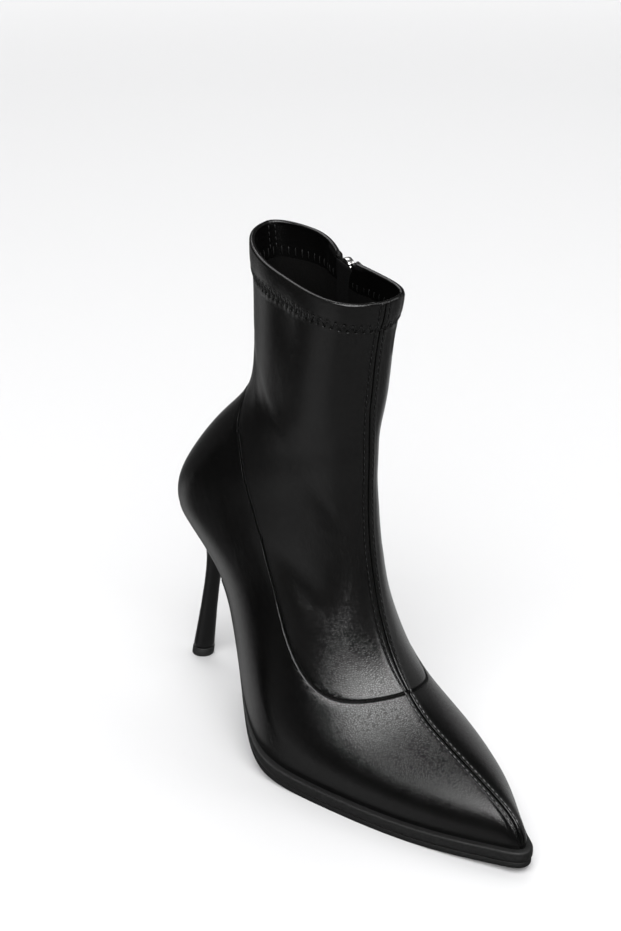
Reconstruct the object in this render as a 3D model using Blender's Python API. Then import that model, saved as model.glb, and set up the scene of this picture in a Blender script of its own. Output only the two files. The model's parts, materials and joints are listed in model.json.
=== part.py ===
"""A right-foot sock ankle boot with a pointed toe, a slim high heel and a zip on the inner side.

Everything is worked out in millimetres in the boot's own frame: x runs from the heel tip towards the toe, y
towards the inner side of the foot, z up from the floor. The finished pieces hang on one empty that puts the
middle of the boot's box over the world origin.
"""

import math

import bpy
import numpy as np

MM = 0.001

# Driving sizes, in millimetres
TOE_REACH = 216.5        # heel tip to the toe of the upper
BALL_WIDTH = 72.0        # across the upper at the ball
SEAT_HEIGHT = 73.5       # floor to the middle of the heel seat
COLLAR_HEIGHT = 214.0    # floor to the back of the collar

DENT_MIDDLE = 0.60       # where the inner wall is pressed in, as a share of the way from back to front
DENT_HALF = 0.42

WALL = 1.5               # thickness of the upper's wall
GAP = 0.3                # clearance between pieces that meet
PANEL_STEP = 0.5         # how far the lower panel stands proud of the sock
HEM_STEP = 0.6           # extra thickness of the folded hem
HEM_DEPTH = 12.0         # height of the folded hem

OUTSOLE_THICK = 2.7
MIDSOLE_THICK = 4.4
WAIST_THICK = 0.9        # the midsole where it fades out
INSOLE_THICK = 2.0
LEDGE = 3.0              # how far the sole stands out past the upper
OUTSOLE_INSET = 0.5      # groove between outsole and midsole edges
HEEL_BREAST = 37.0       # x where the outsole ends and the heel begins

LIFT_DIAMETER = 9.8
LIFT_HEIGHT = 4.0
STEM_LEAN = (0.14, 0.05)  # how far the heel stem leans forward and inward for each millimetre up

ZIP_SLOT = 10.6          # width of the opening in the wall
ZIP_CHAIN = 6.6          # width over both rows of teeth
ZIP_TAPE = 24.0          # width of the woven tape behind the opening
TAPE_THICK = 0.6
ZIP_CAP = 4.0            # below the collar's back, where the zip's surface is carried on straight
SLIDER_HEIGHT = 203.0    # middle of the slider when the zip is closed
SLIDER_LENGTH = 13.0
SLIDER_WIDE = 9.6
SLIDER_BASE = -0.9       # bottom of the slider, seen from the wall's outer face
SLIDER_TOP = 2.0
BRIDGE_TOP = 6.2
BRIDGE_HALF = 3.6        # half the bridge's length along the zip
BRIDGE_WIDE = 2.4
BRIDGE_THICK = 1.1
BRIDGE_ROOT = 0.5        # how deep the bridge's feet go into the slider
PULL_LENGTH = 22.5       # from the pin to the tab's end
PULL_WIDE = 8.2          # at the tab's end
PULL_THICK = 1.3
PULL_AXIS = 3.6          # height of the pull's pin over the wall
PIN_HALF = 0.7           # half the pin's thickness along the tab
WINDOW_LENGTH = 4.9      # of the tab's window for the bridge
WINDOW_WIDE = 3.4

# The size at which the section table below was drawn. A driving size that differs stretches its columns.
DRAWN_REACH = 216.5
DRAWN_BALL = 72.0
DRAWN_SEAT = 73.5
DRAWN_COLLAR = 214.0

# Sections from toe to collar. Each lies in a plane across the boot, from a bottom or back point to a top or
# front point.
SECTION_COLUMNS = (
    "low_x", "low_z", "low_y",      # bottom of the foot, then back of the leg
    "top_x", "top_z", "top_y",      # ridge of the vamp, then front of the leg
    "lateral", "medial",            # half widths on the outer and inner side
    "widest",                       # share of the way up at which the section is widest
    "crown", "shoulder",            # how blunt the section is at the ridge and below it
    "spread",                       # square of the bottom's share of the full width: 0 closes the section
    "twist",                        # how much the inner bottom edge is higher than the middle
    "dent",                         # how far the inner wall is pressed in beside the zip
)
SECTIONS = (
    ("toe tip", 216.5, 10.3, 0.0, 216.5, 10.3, 0.0, 0.0, 0.0, 0.30, 0.50, 0.50, 0.94, 0.0, 0.0),
    ("toe end", 214.2, 10.1, 0.0, 214.6, 17.0, 0.0, 3.3, 3.3, 0.30, 0.50, 0.50, 0.94, 0.0, 0.0),
    ("toe box", 207.5, 9.6, 0.0, 207.8, 22.8, 0.0, 6.8, 6.8, 0.30, 0.48, 0.48, 0.94, 0.0, 0.0),
    ("toe rise", 196.5, 8.9, 0.0, 197.0, 27.0, 0.0, 12.4, 13.4, 0.28, 0.40, 0.42, 0.94, 0.0, 0.0),
    ("vamp low", 182.0, 8.0, 0.0, 183.0, 31.4, 0.0, 18.8, 21.2, 0.27, 0.32, 0.38, 0.94, 0.0, 0.0),
    ("vamp", 165.0, 7.4, 0.0, 167.0, 36.4, 0.0, 25.0, 28.2, 0.26, 0.25, 0.35, 0.94, 0.0, 0.0),
    ("tread", 146.0, 7.3, 0.0, 151.0, 43.0, 0.0, 30.6, 33.8, 0.25, 0.20, 0.32, 0.94, 0.0, 0.0),
    ("ball", 125.0, 7.5, 0.0, 140.5, 51.0, 0.0, 35.8, 36.3, 0.25, 0.18, 0.32, 0.94, 0.0, 0.0),
    ("ball back", 106.0, 10.5, 0.0, 133.0, 61.0, 0.0, 40.0, 34.0, 0.27, 0.20, 0.35, 0.93, 1.0, 0.0),
    ("waist front", 88.0, 21.0, 0.5, 127.5, 72.0, 0.0, 40.0, 30.0, 0.30, 0.25, 0.40, 0.90, 3.5, 0.0),
    ("waist", 66.0, 42.5, 2.0, 123.5, 83.0, 0.0, 34.5, 25.0, 0.34, 0.35, 0.50, 0.74, 6.0, 0.0),
    ("seat front", 44.0, 59.0, 4.0, 120.5, 95.0, 0.0, 29.5, 23.5, 0.36, 0.45, 0.55, 0.55, 5.0, 0.0),
    ("seat", 23.0, 68.5, 5.0, 118.5, 107.0, 0.0, 29.0, 23.5, 0.34, 0.50, 0.60, 0.36, 2.5, 0.0),
    ("heel", 7.0, 73.5, 6.0, 117.6, 119.0, 0.0, 29.5, 23.5, 0.30, 0.55, 0.60, 0.24, 0.0, 0.0),
    ("heel end", -3.5, 78.5, 6.5, 117.4, 130.0, 0.0, 29.5, 23.0, 0.28, 0.55, 0.60, 0.0, 0.0, 0.0),
    ("counter", -6.5, 90.0, 7.0, 117.5, 139.0, 0.0, 28.5, 22.0, 0.30, 0.60, 0.60, 0.0, 0.0, 0.0),
    ("counter high", 0.5, 106.0, 7.5, 117.6, 147.0, 0.0, 26.0, 21.0, 0.36, 0.60, 0.60, 0.0, 0.0, 0.0),
    ("counter top", 17.0, 126.0, 8.0, 117.8, 154.0, 0.0, 24.5, 20.0, 0.42, 0.65, 0.60, 0.0, 0.0, 0.0),
    ("ankle low", 33.0, 142.0, 8.5, 118.2, 161.0, 0.0, 23.5, 19.0, 0.46, 0.75, 0.60, 0.0, 0.0, 0.0),
    ("ankle", 41.0, 158.0, 9.0, 119.0, 170.0, 0.5, 24.5, 18.0, 0.48, 0.80, 0.60, 0.0, 0.0, 0.5),
    ("shaft", 41.0, 176.0, 9.5, 120.2, 182.0, 1.0, 25.0, 17.0, 0.50, 0.88, 0.60, 0.0, 0.0, 2.0),
    ("shaft high", 39.5, 195.0, 10.0, 122.5, 195.5, 1.5, 25.0, 16.0, 0.50, 0.95, 0.60, 0.0, 0.0, 4.0),
    ("collar", 37.0, 214.0, 10.0, 125.8, 209.0, 2.0, 25.0, 15.5, 0.50, 0.98, 0.60, 0.0, 0.0, 6.0),
)
STRETCH = {
    "low_x": TOE_REACH / DRAWN_REACH,
    "top_x": TOE_REACH / DRAWN_REACH,
    "lateral": BALL_WIDTH / DRAWN_BALL,
    "medial": BALL_WIDTH / DRAWN_BALL,
}
NAMES = [row[0] for row in SECTIONS]
HEEL_END = NAMES.index("heel end")
COLLAR = NAMES.index("collar")

# The lower panel's seam, seen from the side, from the back of the ankle down to the ridge of the vamp
PANEL_SEAM = (
    # outer x, outer z, inner x, inner z
    (28.0, 156.0, 28.0, 154.0),
    (47.0, 151.5, 41.0, 143.0),
    (58.0, 134.0, 49.0, 127.0),
    (70.0, 111.0, 58.0, 105.0),
    (85.0, 86.0, 74.0, 86.0),
    (103.0, 64.0, 95.0, 63.0),
    (117.0, 49.5, 114.0, 48.0),
    (130.0, 43.5, 131.0, 41.5),
    (145.0, 47.0, 145.0, 47.0),
)
# The zip's centre line on the inner side, seen from the side
ZIP_FOOT = (68.0, 62.0)
ZIP_HEAD_X = 81.5

# One half of the slider's outline from its tail to its crown, as shares of half its length and half its width
SLIDER_OUTLINE = (
    # along, across
    (-1.00, 0.62),
    (-0.35, 0.76),
    (0.15, 0.96),
    (0.38, 1.00),
    (0.62, 0.90),
    (0.86, 0.62),
    (1.00, 0.22),
)
# One half of the pull's outline from its pin to its end, as shares of its length and half its width
PULL_OUTLINE = (
    # along, across
    (0.00, 0.86),
    (0.30, 0.92),
    (0.92, 1.00),
    (0.955, 0.94),
)
# The heel stem from its neck down to the lift
STEM = (
    # height, diameter
    (50.0, 7.8),
    (44.0, 7.0),
    (36.0, 6.9),
    (24.0, 7.5),
    (12.0, 8.6),
    (LIFT_HEIGHT + GAP, 9.4),
)
CUP_LIP = 1.2            # height of the heel cup's upright edge
CUP_DRAW = 2.4           # how fast the cup draws in to the stem


def cubic(values):
    """Second differences of the natural cubic through evenly spaced values."""
    count = len(values)
    matrix = np.eye(count)
    right = np.zeros(count)
    for i in range(1, count - 1):
        matrix[i, i - 1:i + 2] = 1, 4, 1
        right[i] = 6 * (values[i - 1] - 2 * values[i] + values[i + 1])
    return np.linalg.solve(matrix, right)


def read_cubic(values, bends, at):
    i = np.clip(np.floor(at).astype(int), 0, len(values) - 2)
    b = at - i
    a = 1 - b
    bend = (a ** 3 - a) * bends[i] + (b ** 3 - b) * bends[i + 1]
    return a * values[i] + b * values[i + 1] + bend / 6


def bezier(t, a, b, c, d):
    u = 1 - t
    return u ** 3 * a + 3 * u * u * t * b + 3 * u * t * t * c + t ** 3 * d


def height_stretch(z):
    """Scales heights below the seat with the heel, and above it with the shaft."""
    shaft = (COLLAR_HEIGHT - SEAT_HEIGHT) / (DRAWN_COLLAR - DRAWN_SEAT)
    low = z * SEAT_HEIGHT / DRAWN_SEAT
    return np.where(z < DRAWN_SEAT, low, SEAT_HEIGHT + (z - DRAWN_SEAT) * shaft)


def section_splines():
    """One smooth curve over the stations for each column. A mirrored station rounds the toe's tip."""
    splines = {}
    for i, column in enumerate(SECTION_COLUMNS):
        values = np.array([row[i + 1] for row in SECTIONS], float) * STRETCH.get(column, 1.0)
        if column in ("low_z", "top_z"):
            values = height_stretch(values)
        odd = column in ("low_z", "top_z", "lateral", "medial")
        before = 2 * values[0] - values[1] if odd else values[1]
        values = np.concatenate([[before], values])
        splines[column] = (values, cubic(values))
    return splines


SPLINES = section_splines()


def column(name, station):
    return read_cubic(*SPLINES[name], np.asarray(station, float) + 1)


def girth_shape(c, turn):
    """Where a section's outline lies: its share of the way up, and its share of the half width.

    turn is 0 at the ridge, 1 where the section is widest and 2 at the bottom edge or the back."""
    foot = np.sqrt(np.clip(c["spread"], 0, 1))
    up = np.clip(turn, 0, 1)
    down = np.clip(turn - 1, 0, 1)
    out_up = bezier(up, 0, c["crown"], 1, 1)
    share_up = c["widest"] + (1 - c["widest"]) * bezier(up, 1, 1, c["shoulder"], 0)
    out_down = bezier(down, 1, 1, foot + (1 - foot) * 0.55, foot)
    share_down = c["widest"] * (1 - bezier(down, 0, 0.55 - 0.22 * foot, 1 - 0.33 * foot, 1))
    upper = turn <= 1
    return np.where(upper, share_up, share_down), np.where(upper, out_up, out_down)


def last_point(station, around):
    """Points of the last.

    around runs from -2, the outer bottom edge, over 0, the ridge, to 2, the inner bottom edge."""
    station, around = np.broadcast_arrays(np.asarray(station, float), np.asarray(around, float))
    c = {name: column(name, station) for name in SECTION_COLUMNS}
    c["spread"] = np.where(station < HEEL_END, c["spread"], 0)
    side = np.where(around < 0, -1.0, 1.0)
    share, out = girth_shape(c, np.abs(around))
    half = np.where(side < 0, c["lateral"], c["medial"])
    x = c["low_x"] + (c["top_x"] - c["low_x"]) * share
    press = np.clip(1 - ((share - DENT_MIDDLE) / DENT_HALF) ** 2, 0, 1) ** 2 * (side > 0)
    y = c["low_y"] + (c["top_y"] - c["low_y"]) * share + side * out * half - c["dent"] * press
    z = c["low_z"] + (c["top_z"] - c["low_z"]) * share + side * c["twist"] * out * (1 - share)
    return np.stack([x, y, z], -1)


def last_normal(station, around):
    """Outward unit normals of the last."""
    station, around = np.broadcast_arrays(np.asarray(station, float), np.asarray(around, float))
    step = 0.02
    ahead = last_point(np.minimum(station + step, COLLAR), around)
    behind = last_point(np.maximum(station - step, step), around)
    inner = last_point(station, np.minimum(around + step, 2))
    outer = last_point(station, np.maximum(around - step, -2))
    # At the closed back the outline runs on from the inner side to the outer side.
    at_back = (np.abs(around) > 2 - step) & (station >= HEEL_END)
    back_inner = last_point(station, np.full_like(around, step - 2))
    back_outer = last_point(station, np.full_like(around, 2 - step))
    across = np.where(at_back[..., None], back_inner - back_outer, inner - outer)
    normal = np.cross(across, ahead - behind)
    return normal / np.maximum(np.linalg.norm(normal, axis=-1, keepdims=True), 1e-9)


def bisect(low, high, above):
    """Halves the span from low to high until it holds where above turns true."""
    for _ in range(40):
        middle = (low + high) / 2
        past = above(middle)
        low, high = np.where(past, low, middle), np.where(past, middle, high)
    return (low + high) / 2


def find_on_side(x, z, side):
    """Station and place around of the point that shows at x, z in the side view."""
    x, z = np.broadcast_arrays(np.asarray(x, float), np.asarray(z, float))

    def lines(station):
        c = {name: column(name, station) for name in SECTION_COLUMNS}
        c["spread"] = np.where(station < HEEL_END, c["spread"], 0)
        return c, c["top_x"] - c["low_x"], c["top_z"] - c["low_z"]

    def behind(station):
        c, run, rise = lines(station)
        return run * (z - c["low_z"]) - rise * (x - c["low_x"]) < 0

    station = bisect(np.full(x.shape, 1.0), np.full(x.shape, float(COLLAR)), behind)
    c, run, rise = lines(station)
    share = ((x - c["low_x"]) * run + (z - c["low_z"]) * rise) / (run ** 2 + rise ** 2)
    turn = bisect(np.zeros(x.shape), np.full(x.shape, 2.0), lambda t: girth_shape(c, t)[0] < share)
    return station, side * turn


def new_mesh(name, points, faces):
    """A mesh object from points in millimetres and faces, with its faces turned outward."""
    points = np.asarray(points, float)
    volume = 0.0
    for face in faces:
        for j in range(1, len(face) - 1):
            volume += points[face[0]].dot(np.cross(points[face[j]], points[face[j + 1]]))
    if volume < 0:
        faces = [face[::-1] for face in faces]
    mesh = bpy.data.meshes.new(name)
    mesh.from_pydata([tuple(p) for p in points * MM], [], faces)
    mesh.validate()
    obj = bpy.data.objects.new(name, mesh)
    bpy.context.scene.collection.objects.link(obj)
    return obj


def shell(name, stations, outside, inside, columns=16):
    """A closed shell over the last, between two offsets with a value for each station."""
    around = np.linspace(-2, 2, 2 * columns + 1)
    grid_s, grid_a = np.meshgrid(stations, around, indexing="ij")
    base = last_point(grid_s, grid_a)
    normal = last_normal(grid_s, grid_a)
    points = []
    faces = []
    index = []
    for offset in (outside, inside):
        layer = base + normal * np.asarray(offset)[:, None, None]
        tip = base[0, columns] + np.array([1.2 * offset[0], 0, 0])
        number = np.zeros(grid_s.shape, int)
        number[0] = len(points)
        points.append(tip)
        for i in range(1, len(stations)):
            closed = stations[i] >= HEEL_END
            for j in range(len(around)):
                if closed and j == len(around) - 1:
                    number[i, j] = number[i, 0]
                    continue
                number[i, j] = len(points)
                points.append(layer[i, j])
        index.append(number)

    def add(*corners):
        kept = [c for k, c in enumerate(corners) if c != corners[k - 1]]
        if len(kept) > 2:
            faces.append(kept)

    out, inn = index
    for i in range(len(stations) - 1):
        for j in range(len(around) - 1):
            add(out[i, j], out[i, j + 1], out[i + 1, j + 1], out[i + 1, j])
            add(inn[i, j], inn[i + 1, j], inn[i + 1, j + 1], inn[i, j + 1])
        if stations[i] < HEEL_END:
            add(out[i, 0], out[i + 1, 0], inn[i + 1, 0], inn[i, 0])
            add(out[i, -1], inn[i, -1], inn[i + 1, -1], out[i + 1, -1])
    for j in range(len(around) - 1):
        add(out[-1, j], out[-1, j + 1], inn[-1, j + 1], inn[-1, j])
    return new_mesh(name, points, faces)


def loft(name, rings, last_cap=None):
    """A closed solid through rings of equally many points. last_cap has faces for an end that isn't flat."""
    rings = np.asarray(rings, float)
    count = rings.shape[1]
    faces = []
    for i in range(len(rings) - 1):
        for j in range(count):
            k = (j + 1) % count
            faces.append((i * count + j, i * count + k, (i + 1) * count + k, (i + 1) * count + j))
    faces.append(tuple(range(count))[::-1])
    for cap in last_cap or [range(count)]:
        faces.append(tuple((len(rings) - 1) * count + j for j in cap))
    return new_mesh(name, rings.reshape(-1, 3), faces)


def boolean(obj, other, operation):
    """Adds an exact Boolean and turns the other object into a hidden helper."""
    modifier = obj.modifiers.new(operation.title(), "BOOLEAN")
    modifier.operation = operation
    modifier.solver = "EXACT"
    modifier.object = other
    other.hide_render = True
    other.display_type = "WIRE"


def painted(obj, colour, roughness, metallic=0.0):
    """Gives a piece its own plain material."""
    material = bpy.data.materials.new(obj.name + "_material")
    material.use_nodes = True
    shader = material.node_tree.nodes["Principled BSDF"]
    shader.inputs["Base Color"].default_value = (*colour, 1)
    shader.inputs["Roughness"].default_value = roughness
    shader.inputs["Metallic"].default_value = metallic
    obj.data.materials.append(material)
    obj.data.shade_smooth()
    obj.data.set_sharp_from_angle(angle=math.radians(40))
    return obj


def seam_curve(points):
    """A smooth side-view curve through the seam's points, as many steps between two of them."""
    points = np.asarray(points, float)
    at = np.linspace(0, len(points) - 1, 6 * (len(points) - 1) + 1)
    return np.stack([read_cubic(points[:, k], cubic(points[:, k]), at) for k in range(2)], -1)


def panel_block():
    """A block that holds everything below the lower panel's seam. Its end faces follow both sides' seams."""
    reach = 60.0             # how far out the block's end faces are
    wall_y = 25.0            # about how far out the walls are, where the seams were measured
    table = np.array(PANEL_SEAM)
    outer = seam_curve(table[:, :2])
    inner = seam_curve(table[:, 2:])
    front, back, floor, top = 240.0, -60.0, -20.0, 75.0
    corners = np.array([(150.0, top), (front, top), (front, floor), (back, floor), (back, table[0, 1])])
    rings = []
    for y in (-reach, reach):
        blend = 0.5 + 0.5 * y / wall_y
        seam = outer + (inner - outer) * blend
        side = np.concatenate([seam, corners])
        rings.append(np.stack([side[:, 0], np.full(len(side), y), side[:, 1]], -1))
    return loft("panel_block", rings)


def zip_line(height):
    """Side-view x of the zip's centre at a height: upright at the foot, leaning forward to the collar."""
    climb = (height - ZIP_FOOT[1]) / (COLLAR_HEIGHT - ZIP_FOOT[1])
    return ZIP_FOOT[0] + (ZIP_HEAD_X - ZIP_FOOT[0]) * np.clip(climb, 0, None) ** 2


def zip_ribbon(name, heights, wide, low, top, foot_share=1.0):
    """A ribbon along the zip between two offsets from the wall. foot_share narrows its lowest ring."""
    rings = []
    cap = COLLAR_HEIGHT - ZIP_CAP
    for z in heights:
        half = wide / 2 * (foot_share if z == heights[0] else 1.0)
        edges = np.array([-half, -half / 3, half / 3, half])
        station, around = find_on_side(zip_line(z) + edges, min(z, cap), 1)
        point = last_point(station, around)
        point[:, 2] += max(z - cap, 0)
        normal = last_normal(station, around)
        rings.append(np.concatenate([point + normal * top, (point + normal * low)[::-1]]))
    return loft(name, rings)


def zip_frame(height):
    """The middle of the zip at a height, and the directions out of the wall, along the zip and across it."""
    station, around = find_on_side(zip_line(height), height, 1)
    point = last_point(station, around)
    out = last_normal(station, around)
    above = last_point(*find_on_side(zip_line(height + 2.0), height + 2.0, 1))
    along = above - point
    along -= out * along.dot(out)
    along /= np.linalg.norm(along)
    return point, out, along, np.cross(along, out)


def stations_between(low, high, each=2):
    return np.linspace(low, high, int(round((high - low) * each)) + 1)


def sole_stations(high):
    """Stations of a layer under the foot, close together where the toe is round."""
    return np.concatenate([[0.1], stations_between(0.25, high, 3)])


def make_upper():
    """The hollow wall, with the hem as a step, the lower panel fused on and the zip's slot cut out."""
    hem = COLLAR - HEM_DEPTH / np.linalg.norm(last_point(COLLAR, 0.0) - last_point(COLLAR - 1.0, 0.0))
    stations = stations_between(0, COLLAR - 1)
    below = stations[stations < hem - 0.2]
    step = 0.03              # stations over which the hem's edge rises
    stations = np.concatenate([below, [hem - step, hem, (hem + COLLAR) / 2, COLLAR]])
    outside = np.where(stations >= hem, HEM_STEP, 0.0)
    upper = shell("upper", stations, outside, np.full(len(stations), -WALL))
    panel_rows = stations_between(0, NAMES.index("shaft"))
    even = np.ones(len(panel_rows))
    panel = shell("panel_skin", panel_rows, PANEL_STEP * even, -WALL / 2 * even)
    boolean(panel, panel_block(), "INTERSECT")
    boolean(upper, panel, "UNION")
    heights = np.linspace(ZIP_FOOT[1], COLLAR_HEIGHT + 8, 14)
    reach = 5.0              # how far the cutter goes into and out of the wall
    boolean(upper, zip_ribbon("zip_slot", heights, ZIP_SLOT, -reach, reach, 0.55), "DIFFERENCE")
    return painted(upper, (0.012, 0.012, 0.013), 0.42)


def seat_height(points):
    """Height of the last's bottom under points, straight across the foot from the outer to the inner edge."""
    dense = np.linspace(HEEL_END, 0, 600)
    outer = last_point(dense, -2.0)
    inner = last_point(dense, 2.0)
    at = points[..., 0]
    y_outer, z_outer = (np.interp(at, outer[:, 0], outer[:, k]) for k in (1, 2))
    y_inner, z_inner = (np.interp(at, inner[:, 0], inner[:, k]) for k in (1, 2))
    share = (points[..., 1] - y_outer) / np.maximum(y_inner - y_outer, 4.0)
    return z_outer + (z_inner - z_outer) * share


def bottom_edges(stations, out):
    """The outer and inner bottom edges, moved outward in plan by out, a value for each station."""
    edges = []
    for side in (-1.0, 1.0):
        edge = last_point(stations, 2.0 * side)
        back = last_point(stations + 0.01, 2.0 * side)
        run = (back - edge)[:, :2]
        normal = np.stack([-run[:, 1], run[:, 0]], -1) * -side
        normal /= np.linalg.norm(normal, axis=1, keepdims=True)
        edge[:, :2] += normal * out[:, None]
        edges.append(edge)
    return edges


def sole_layer(name, stations, out, drop, thick, rounding, floor=None):
    """A layer under the last: its edges moved out, its top dropped, and how much its side is rounded."""
    lateral, medial = bottom_edges(stations, out)
    rings = []
    for i in range(len(stations)):
        across = np.linspace(0, 1, 5)[:, None]
        top = lateral[i] + (medial[i] - lateral[i]) * across
        top[:, 2] = seat_height(top)
        low = top.copy()
        top[:, 2] -= drop[i]
        low[:, 2] -= drop[i] + thick[i]
        if floor is not None:
            low[:, 2] = np.maximum(low[:, 2], floor)
        side = np.array([0.0, min(rounding, 0.4 * (medial[i, 1] - lateral[i, 1])), 0.0])
        belly_l = (top[0] + low[0]) / 2
        belly_m = (top[-1] + low[-1]) / 2
        top[0] += side
        low[0] += side
        top[-1] -= side
        low[-1] -= side
        rings.append(np.concatenate([top, [belly_m], low[::-1], [belly_l]]))
    return loft(name, rings)


def fade(stations, first, last):
    """1 up to the first named station, falling smoothly to 0 at the last one."""
    t = np.clip((stations - NAMES.index(first)) / (NAMES.index(last) - NAMES.index(first)), 0, 1)
    return 1 - t * t * (3 - 2 * t)


def station_of_x(x):
    """The station whose bottom point lies at x, on the way from the waist to the heel."""
    low, high = np.array(float(NAMES.index("waist"))), np.array(float(HEEL_END))
    return float(bisect(low, high, lambda s: column("low_x", s) < x))


def make_midsole():
    stations = sole_stations(NAMES.index("waist") + 0.5)
    full = fade(stations, "ball back", "waist")
    out = 0.2 + (LEDGE - 0.2) * full
    thick = WAIST_THICK + (MIDSOLE_THICK - WAIST_THICK) * full
    midsole = sole_layer("midsole", stations, out, np.full(len(stations), GAP), thick, 0.5)
    return painted(midsole, (0.010, 0.010, 0.010), 0.6)


def make_outsole():
    stations = np.append(sole_stations(NAMES.index("seat front")), station_of_x(HEEL_BREAST + GAP))
    full = fade(stations, "ball back", "waist")
    under = np.where(stations <= NAMES.index("waist") + 0.75, WAIST_THICK + GAP, 0.0)
    drop = GAP + under + (MIDSOLE_THICK - WAIST_THICK) * full
    out = (LEDGE - OUTSOLE_INSET) * full
    thick = np.full(len(stations), OUTSOLE_THICK)
    outsole = sole_layer("outsole", stations, out, drop, thick, 0.3, floor=0.0)
    return painted(outsole, (0.008, 0.008, 0.008), 0.7)


def make_insole():
    stations = np.append(stations_between(2.5, HEEL_END - 0.5, 3), HEEL_END - 0.3)
    out = np.full(len(stations), -(WALL + 4 * GAP))
    drop = np.full(len(stations), -(INSOLE_THICK + GAP))
    insole = sole_layer("insole", stations, out, drop, np.full(len(stations), INSOLE_THICK), 0.2)
    return painted(insole, (0.02, 0.02, 0.02), 0.8)


def ring_around(centre, diameter, z, count):
    turn = np.linspace(0, 2 * math.pi, count, endpoint=False)
    return np.stack([
        centre[0] + diameter / 2 * np.cos(turn),
        centre[1] + diameter / 2 * np.sin(turn),
        np.full(count, z),
    ], -1)


def stem_centre(z):
    return STEM_LEAN[0] * z, STEM_LEAN[1] * z


def make_heel():
    """The cup under the heel seat, drawn in to a slim stem that leans forward."""
    stations = np.linspace(station_of_x(HEEL_BREAST), HEEL_END, 12)
    lateral = last_point(stations, -2.0)
    medial = last_point(stations, 2.0)[::-1]
    edge = np.concatenate([lateral, medial[1:]])
    front = medial[-1] + (lateral[0] - medial[-1]) * np.linspace(0, 1, 11)[1:-1, None]
    ring = np.concatenate([edge, front])
    count = len(ring)
    ring[:, 2] -= GAP + PANEL_STEP
    middle = ring.mean(axis=0)
    turn = np.unwrap(np.arctan2(ring[:, 1] - middle[1], ring[:, 0] - middle[0]))
    neck_z, neck_wide = STEM[0]
    neck = np.array(stem_centre(neck_z))
    target = np.stack([
        neck[0] + neck_wide / 2 * np.cos(turn),
        neck[1] + neck_wide / 2 * np.sin(turn),
        np.full(count, neck_z),
    ], -1)
    lip = ring.copy()
    lip[:, 2] -= CUP_LIP
    rings = [ring, lip]
    for q in np.linspace(0, 1, 9)[1:]:
        draw_in = 1 - (1 - q) ** CUP_DRAW
        level = lip.copy()
        level[:, :2] += (target - lip)[:, :2] * draw_in
        level[:, 2] += (target - lip)[:, 2] * q
        rings.append(level)
    for z, wide in STEM[1:]:
        centre = stem_centre(z)
        rings.append(np.stack([
            centre[0] + wide / 2 * np.cos(turn),
            centre[1] + wide / 2 * np.sin(turn),
            np.full(count, z),
        ], -1))
    # The top follows the seat in rungs from the outer edge to the inner one.
    back = len(stations) - 1
    inner = [2 * back - i for i in range(back + 1)]
    rungs = [(i, i + 1, inner[i + 1], inner[i]) for i in range(1, back - 1)]
    rungs.append((back - 1, back, inner[back - 1]))
    rungs.append((0, 1, inner[1], inner[0], *range(inner[0] + 1, count)))
    return painted(loft("heel", rings[::-1], rungs), (0.012, 0.012, 0.013), 0.35)


def make_heel_lift():
    levels = ((0.0, LIFT_DIAMETER - 0.6), (0.4, LIFT_DIAMETER), (LIFT_HEIGHT, LIFT_DIAMETER - 0.1))
    rings = [ring_around(stem_centre(z), wide, z, 28) for z, wide in levels]
    return painted(loft("heel_lift", rings), (0.010, 0.010, 0.010), 0.65)


def make_zip_tape():
    heights = np.linspace(ZIP_FOOT[1] + 4, COLLAR_HEIGHT - 5, 16)
    behind = -(WALL + GAP)
    tape = zip_ribbon("zip_tape", heights, ZIP_TAPE, behind - TAPE_THICK, behind)
    return painted(tape, (0.015, 0.015, 0.015), 0.85)


def make_zip_teeth():
    heights = np.linspace(ZIP_FOOT[1] + 3, SLIDER_HEIGHT - SLIDER_LENGTH / 2 - 2 * GAP, 24)
    teeth = zip_ribbon("zip_teeth", heights, ZIP_CHAIN, -WALL, GAP)
    return painted(teeth, (0.012, 0.012, 0.012), 0.5)


def place(points):
    """Puts points given as along, across, out of the slider's middle into the boot's frame."""
    point, out, along, across = zip_frame(SLIDER_HEIGHT)
    points = np.asarray(points, float)
    return point + points[..., :1] * along + points[..., 1:2] * across + points[..., 2:] * out


def prism(name, outline, low, high):
    """A prism in the slider's frame, from an outline of along and across and two heights over the wall."""
    outline = np.asarray(outline, float)
    rings = [np.column_stack([outline, np.full(len(outline), h)]) for h in (low, high)]
    return loft(name, place(rings))


def mirrored(table, along_scale, across_scale):
    """A closed outline from one half's shares, on both sides of the middle line."""
    half = np.array(table) * (along_scale, across_scale)
    return np.concatenate([half, half[::-1] * (1, -1)])


def make_zip_slider():
    body = mirrored(SLIDER_OUTLINE, SLIDER_LENGTH / 2, SLIDER_WIDE / 2)
    slider = prism("zip_slider", body, SLIDER_BASE, SLIDER_TOP)
    post = BRIDGE_HALF - BRIDGE_THICK
    root = SLIDER_TOP - BRIDGE_ROOT
    under = BRIDGE_TOP - BRIDGE_THICK
    half_arch = ((BRIDGE_HALF, root), (BRIDGE_HALF, under), (post, BRIDGE_TOP))
    half_hole = ((post, under), (post, root))
    arch = [(-along, out) for along, out in half_arch]
    arch += half_arch[::-1]
    arch += half_hole[::-1]
    arch += [(-along, out) for along, out in half_hole]
    sides = (-BRIDGE_WIDE / 2, BRIDGE_WIDE / 2)
    rings = [[(along, across, out) for along, out in arch] for across in sides]
    boolean(slider, loft("zip_bridge", place(rings)), "UNION")
    return painted(slider, (0.75, 0.75, 0.76), 0.22, 1.0)


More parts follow.
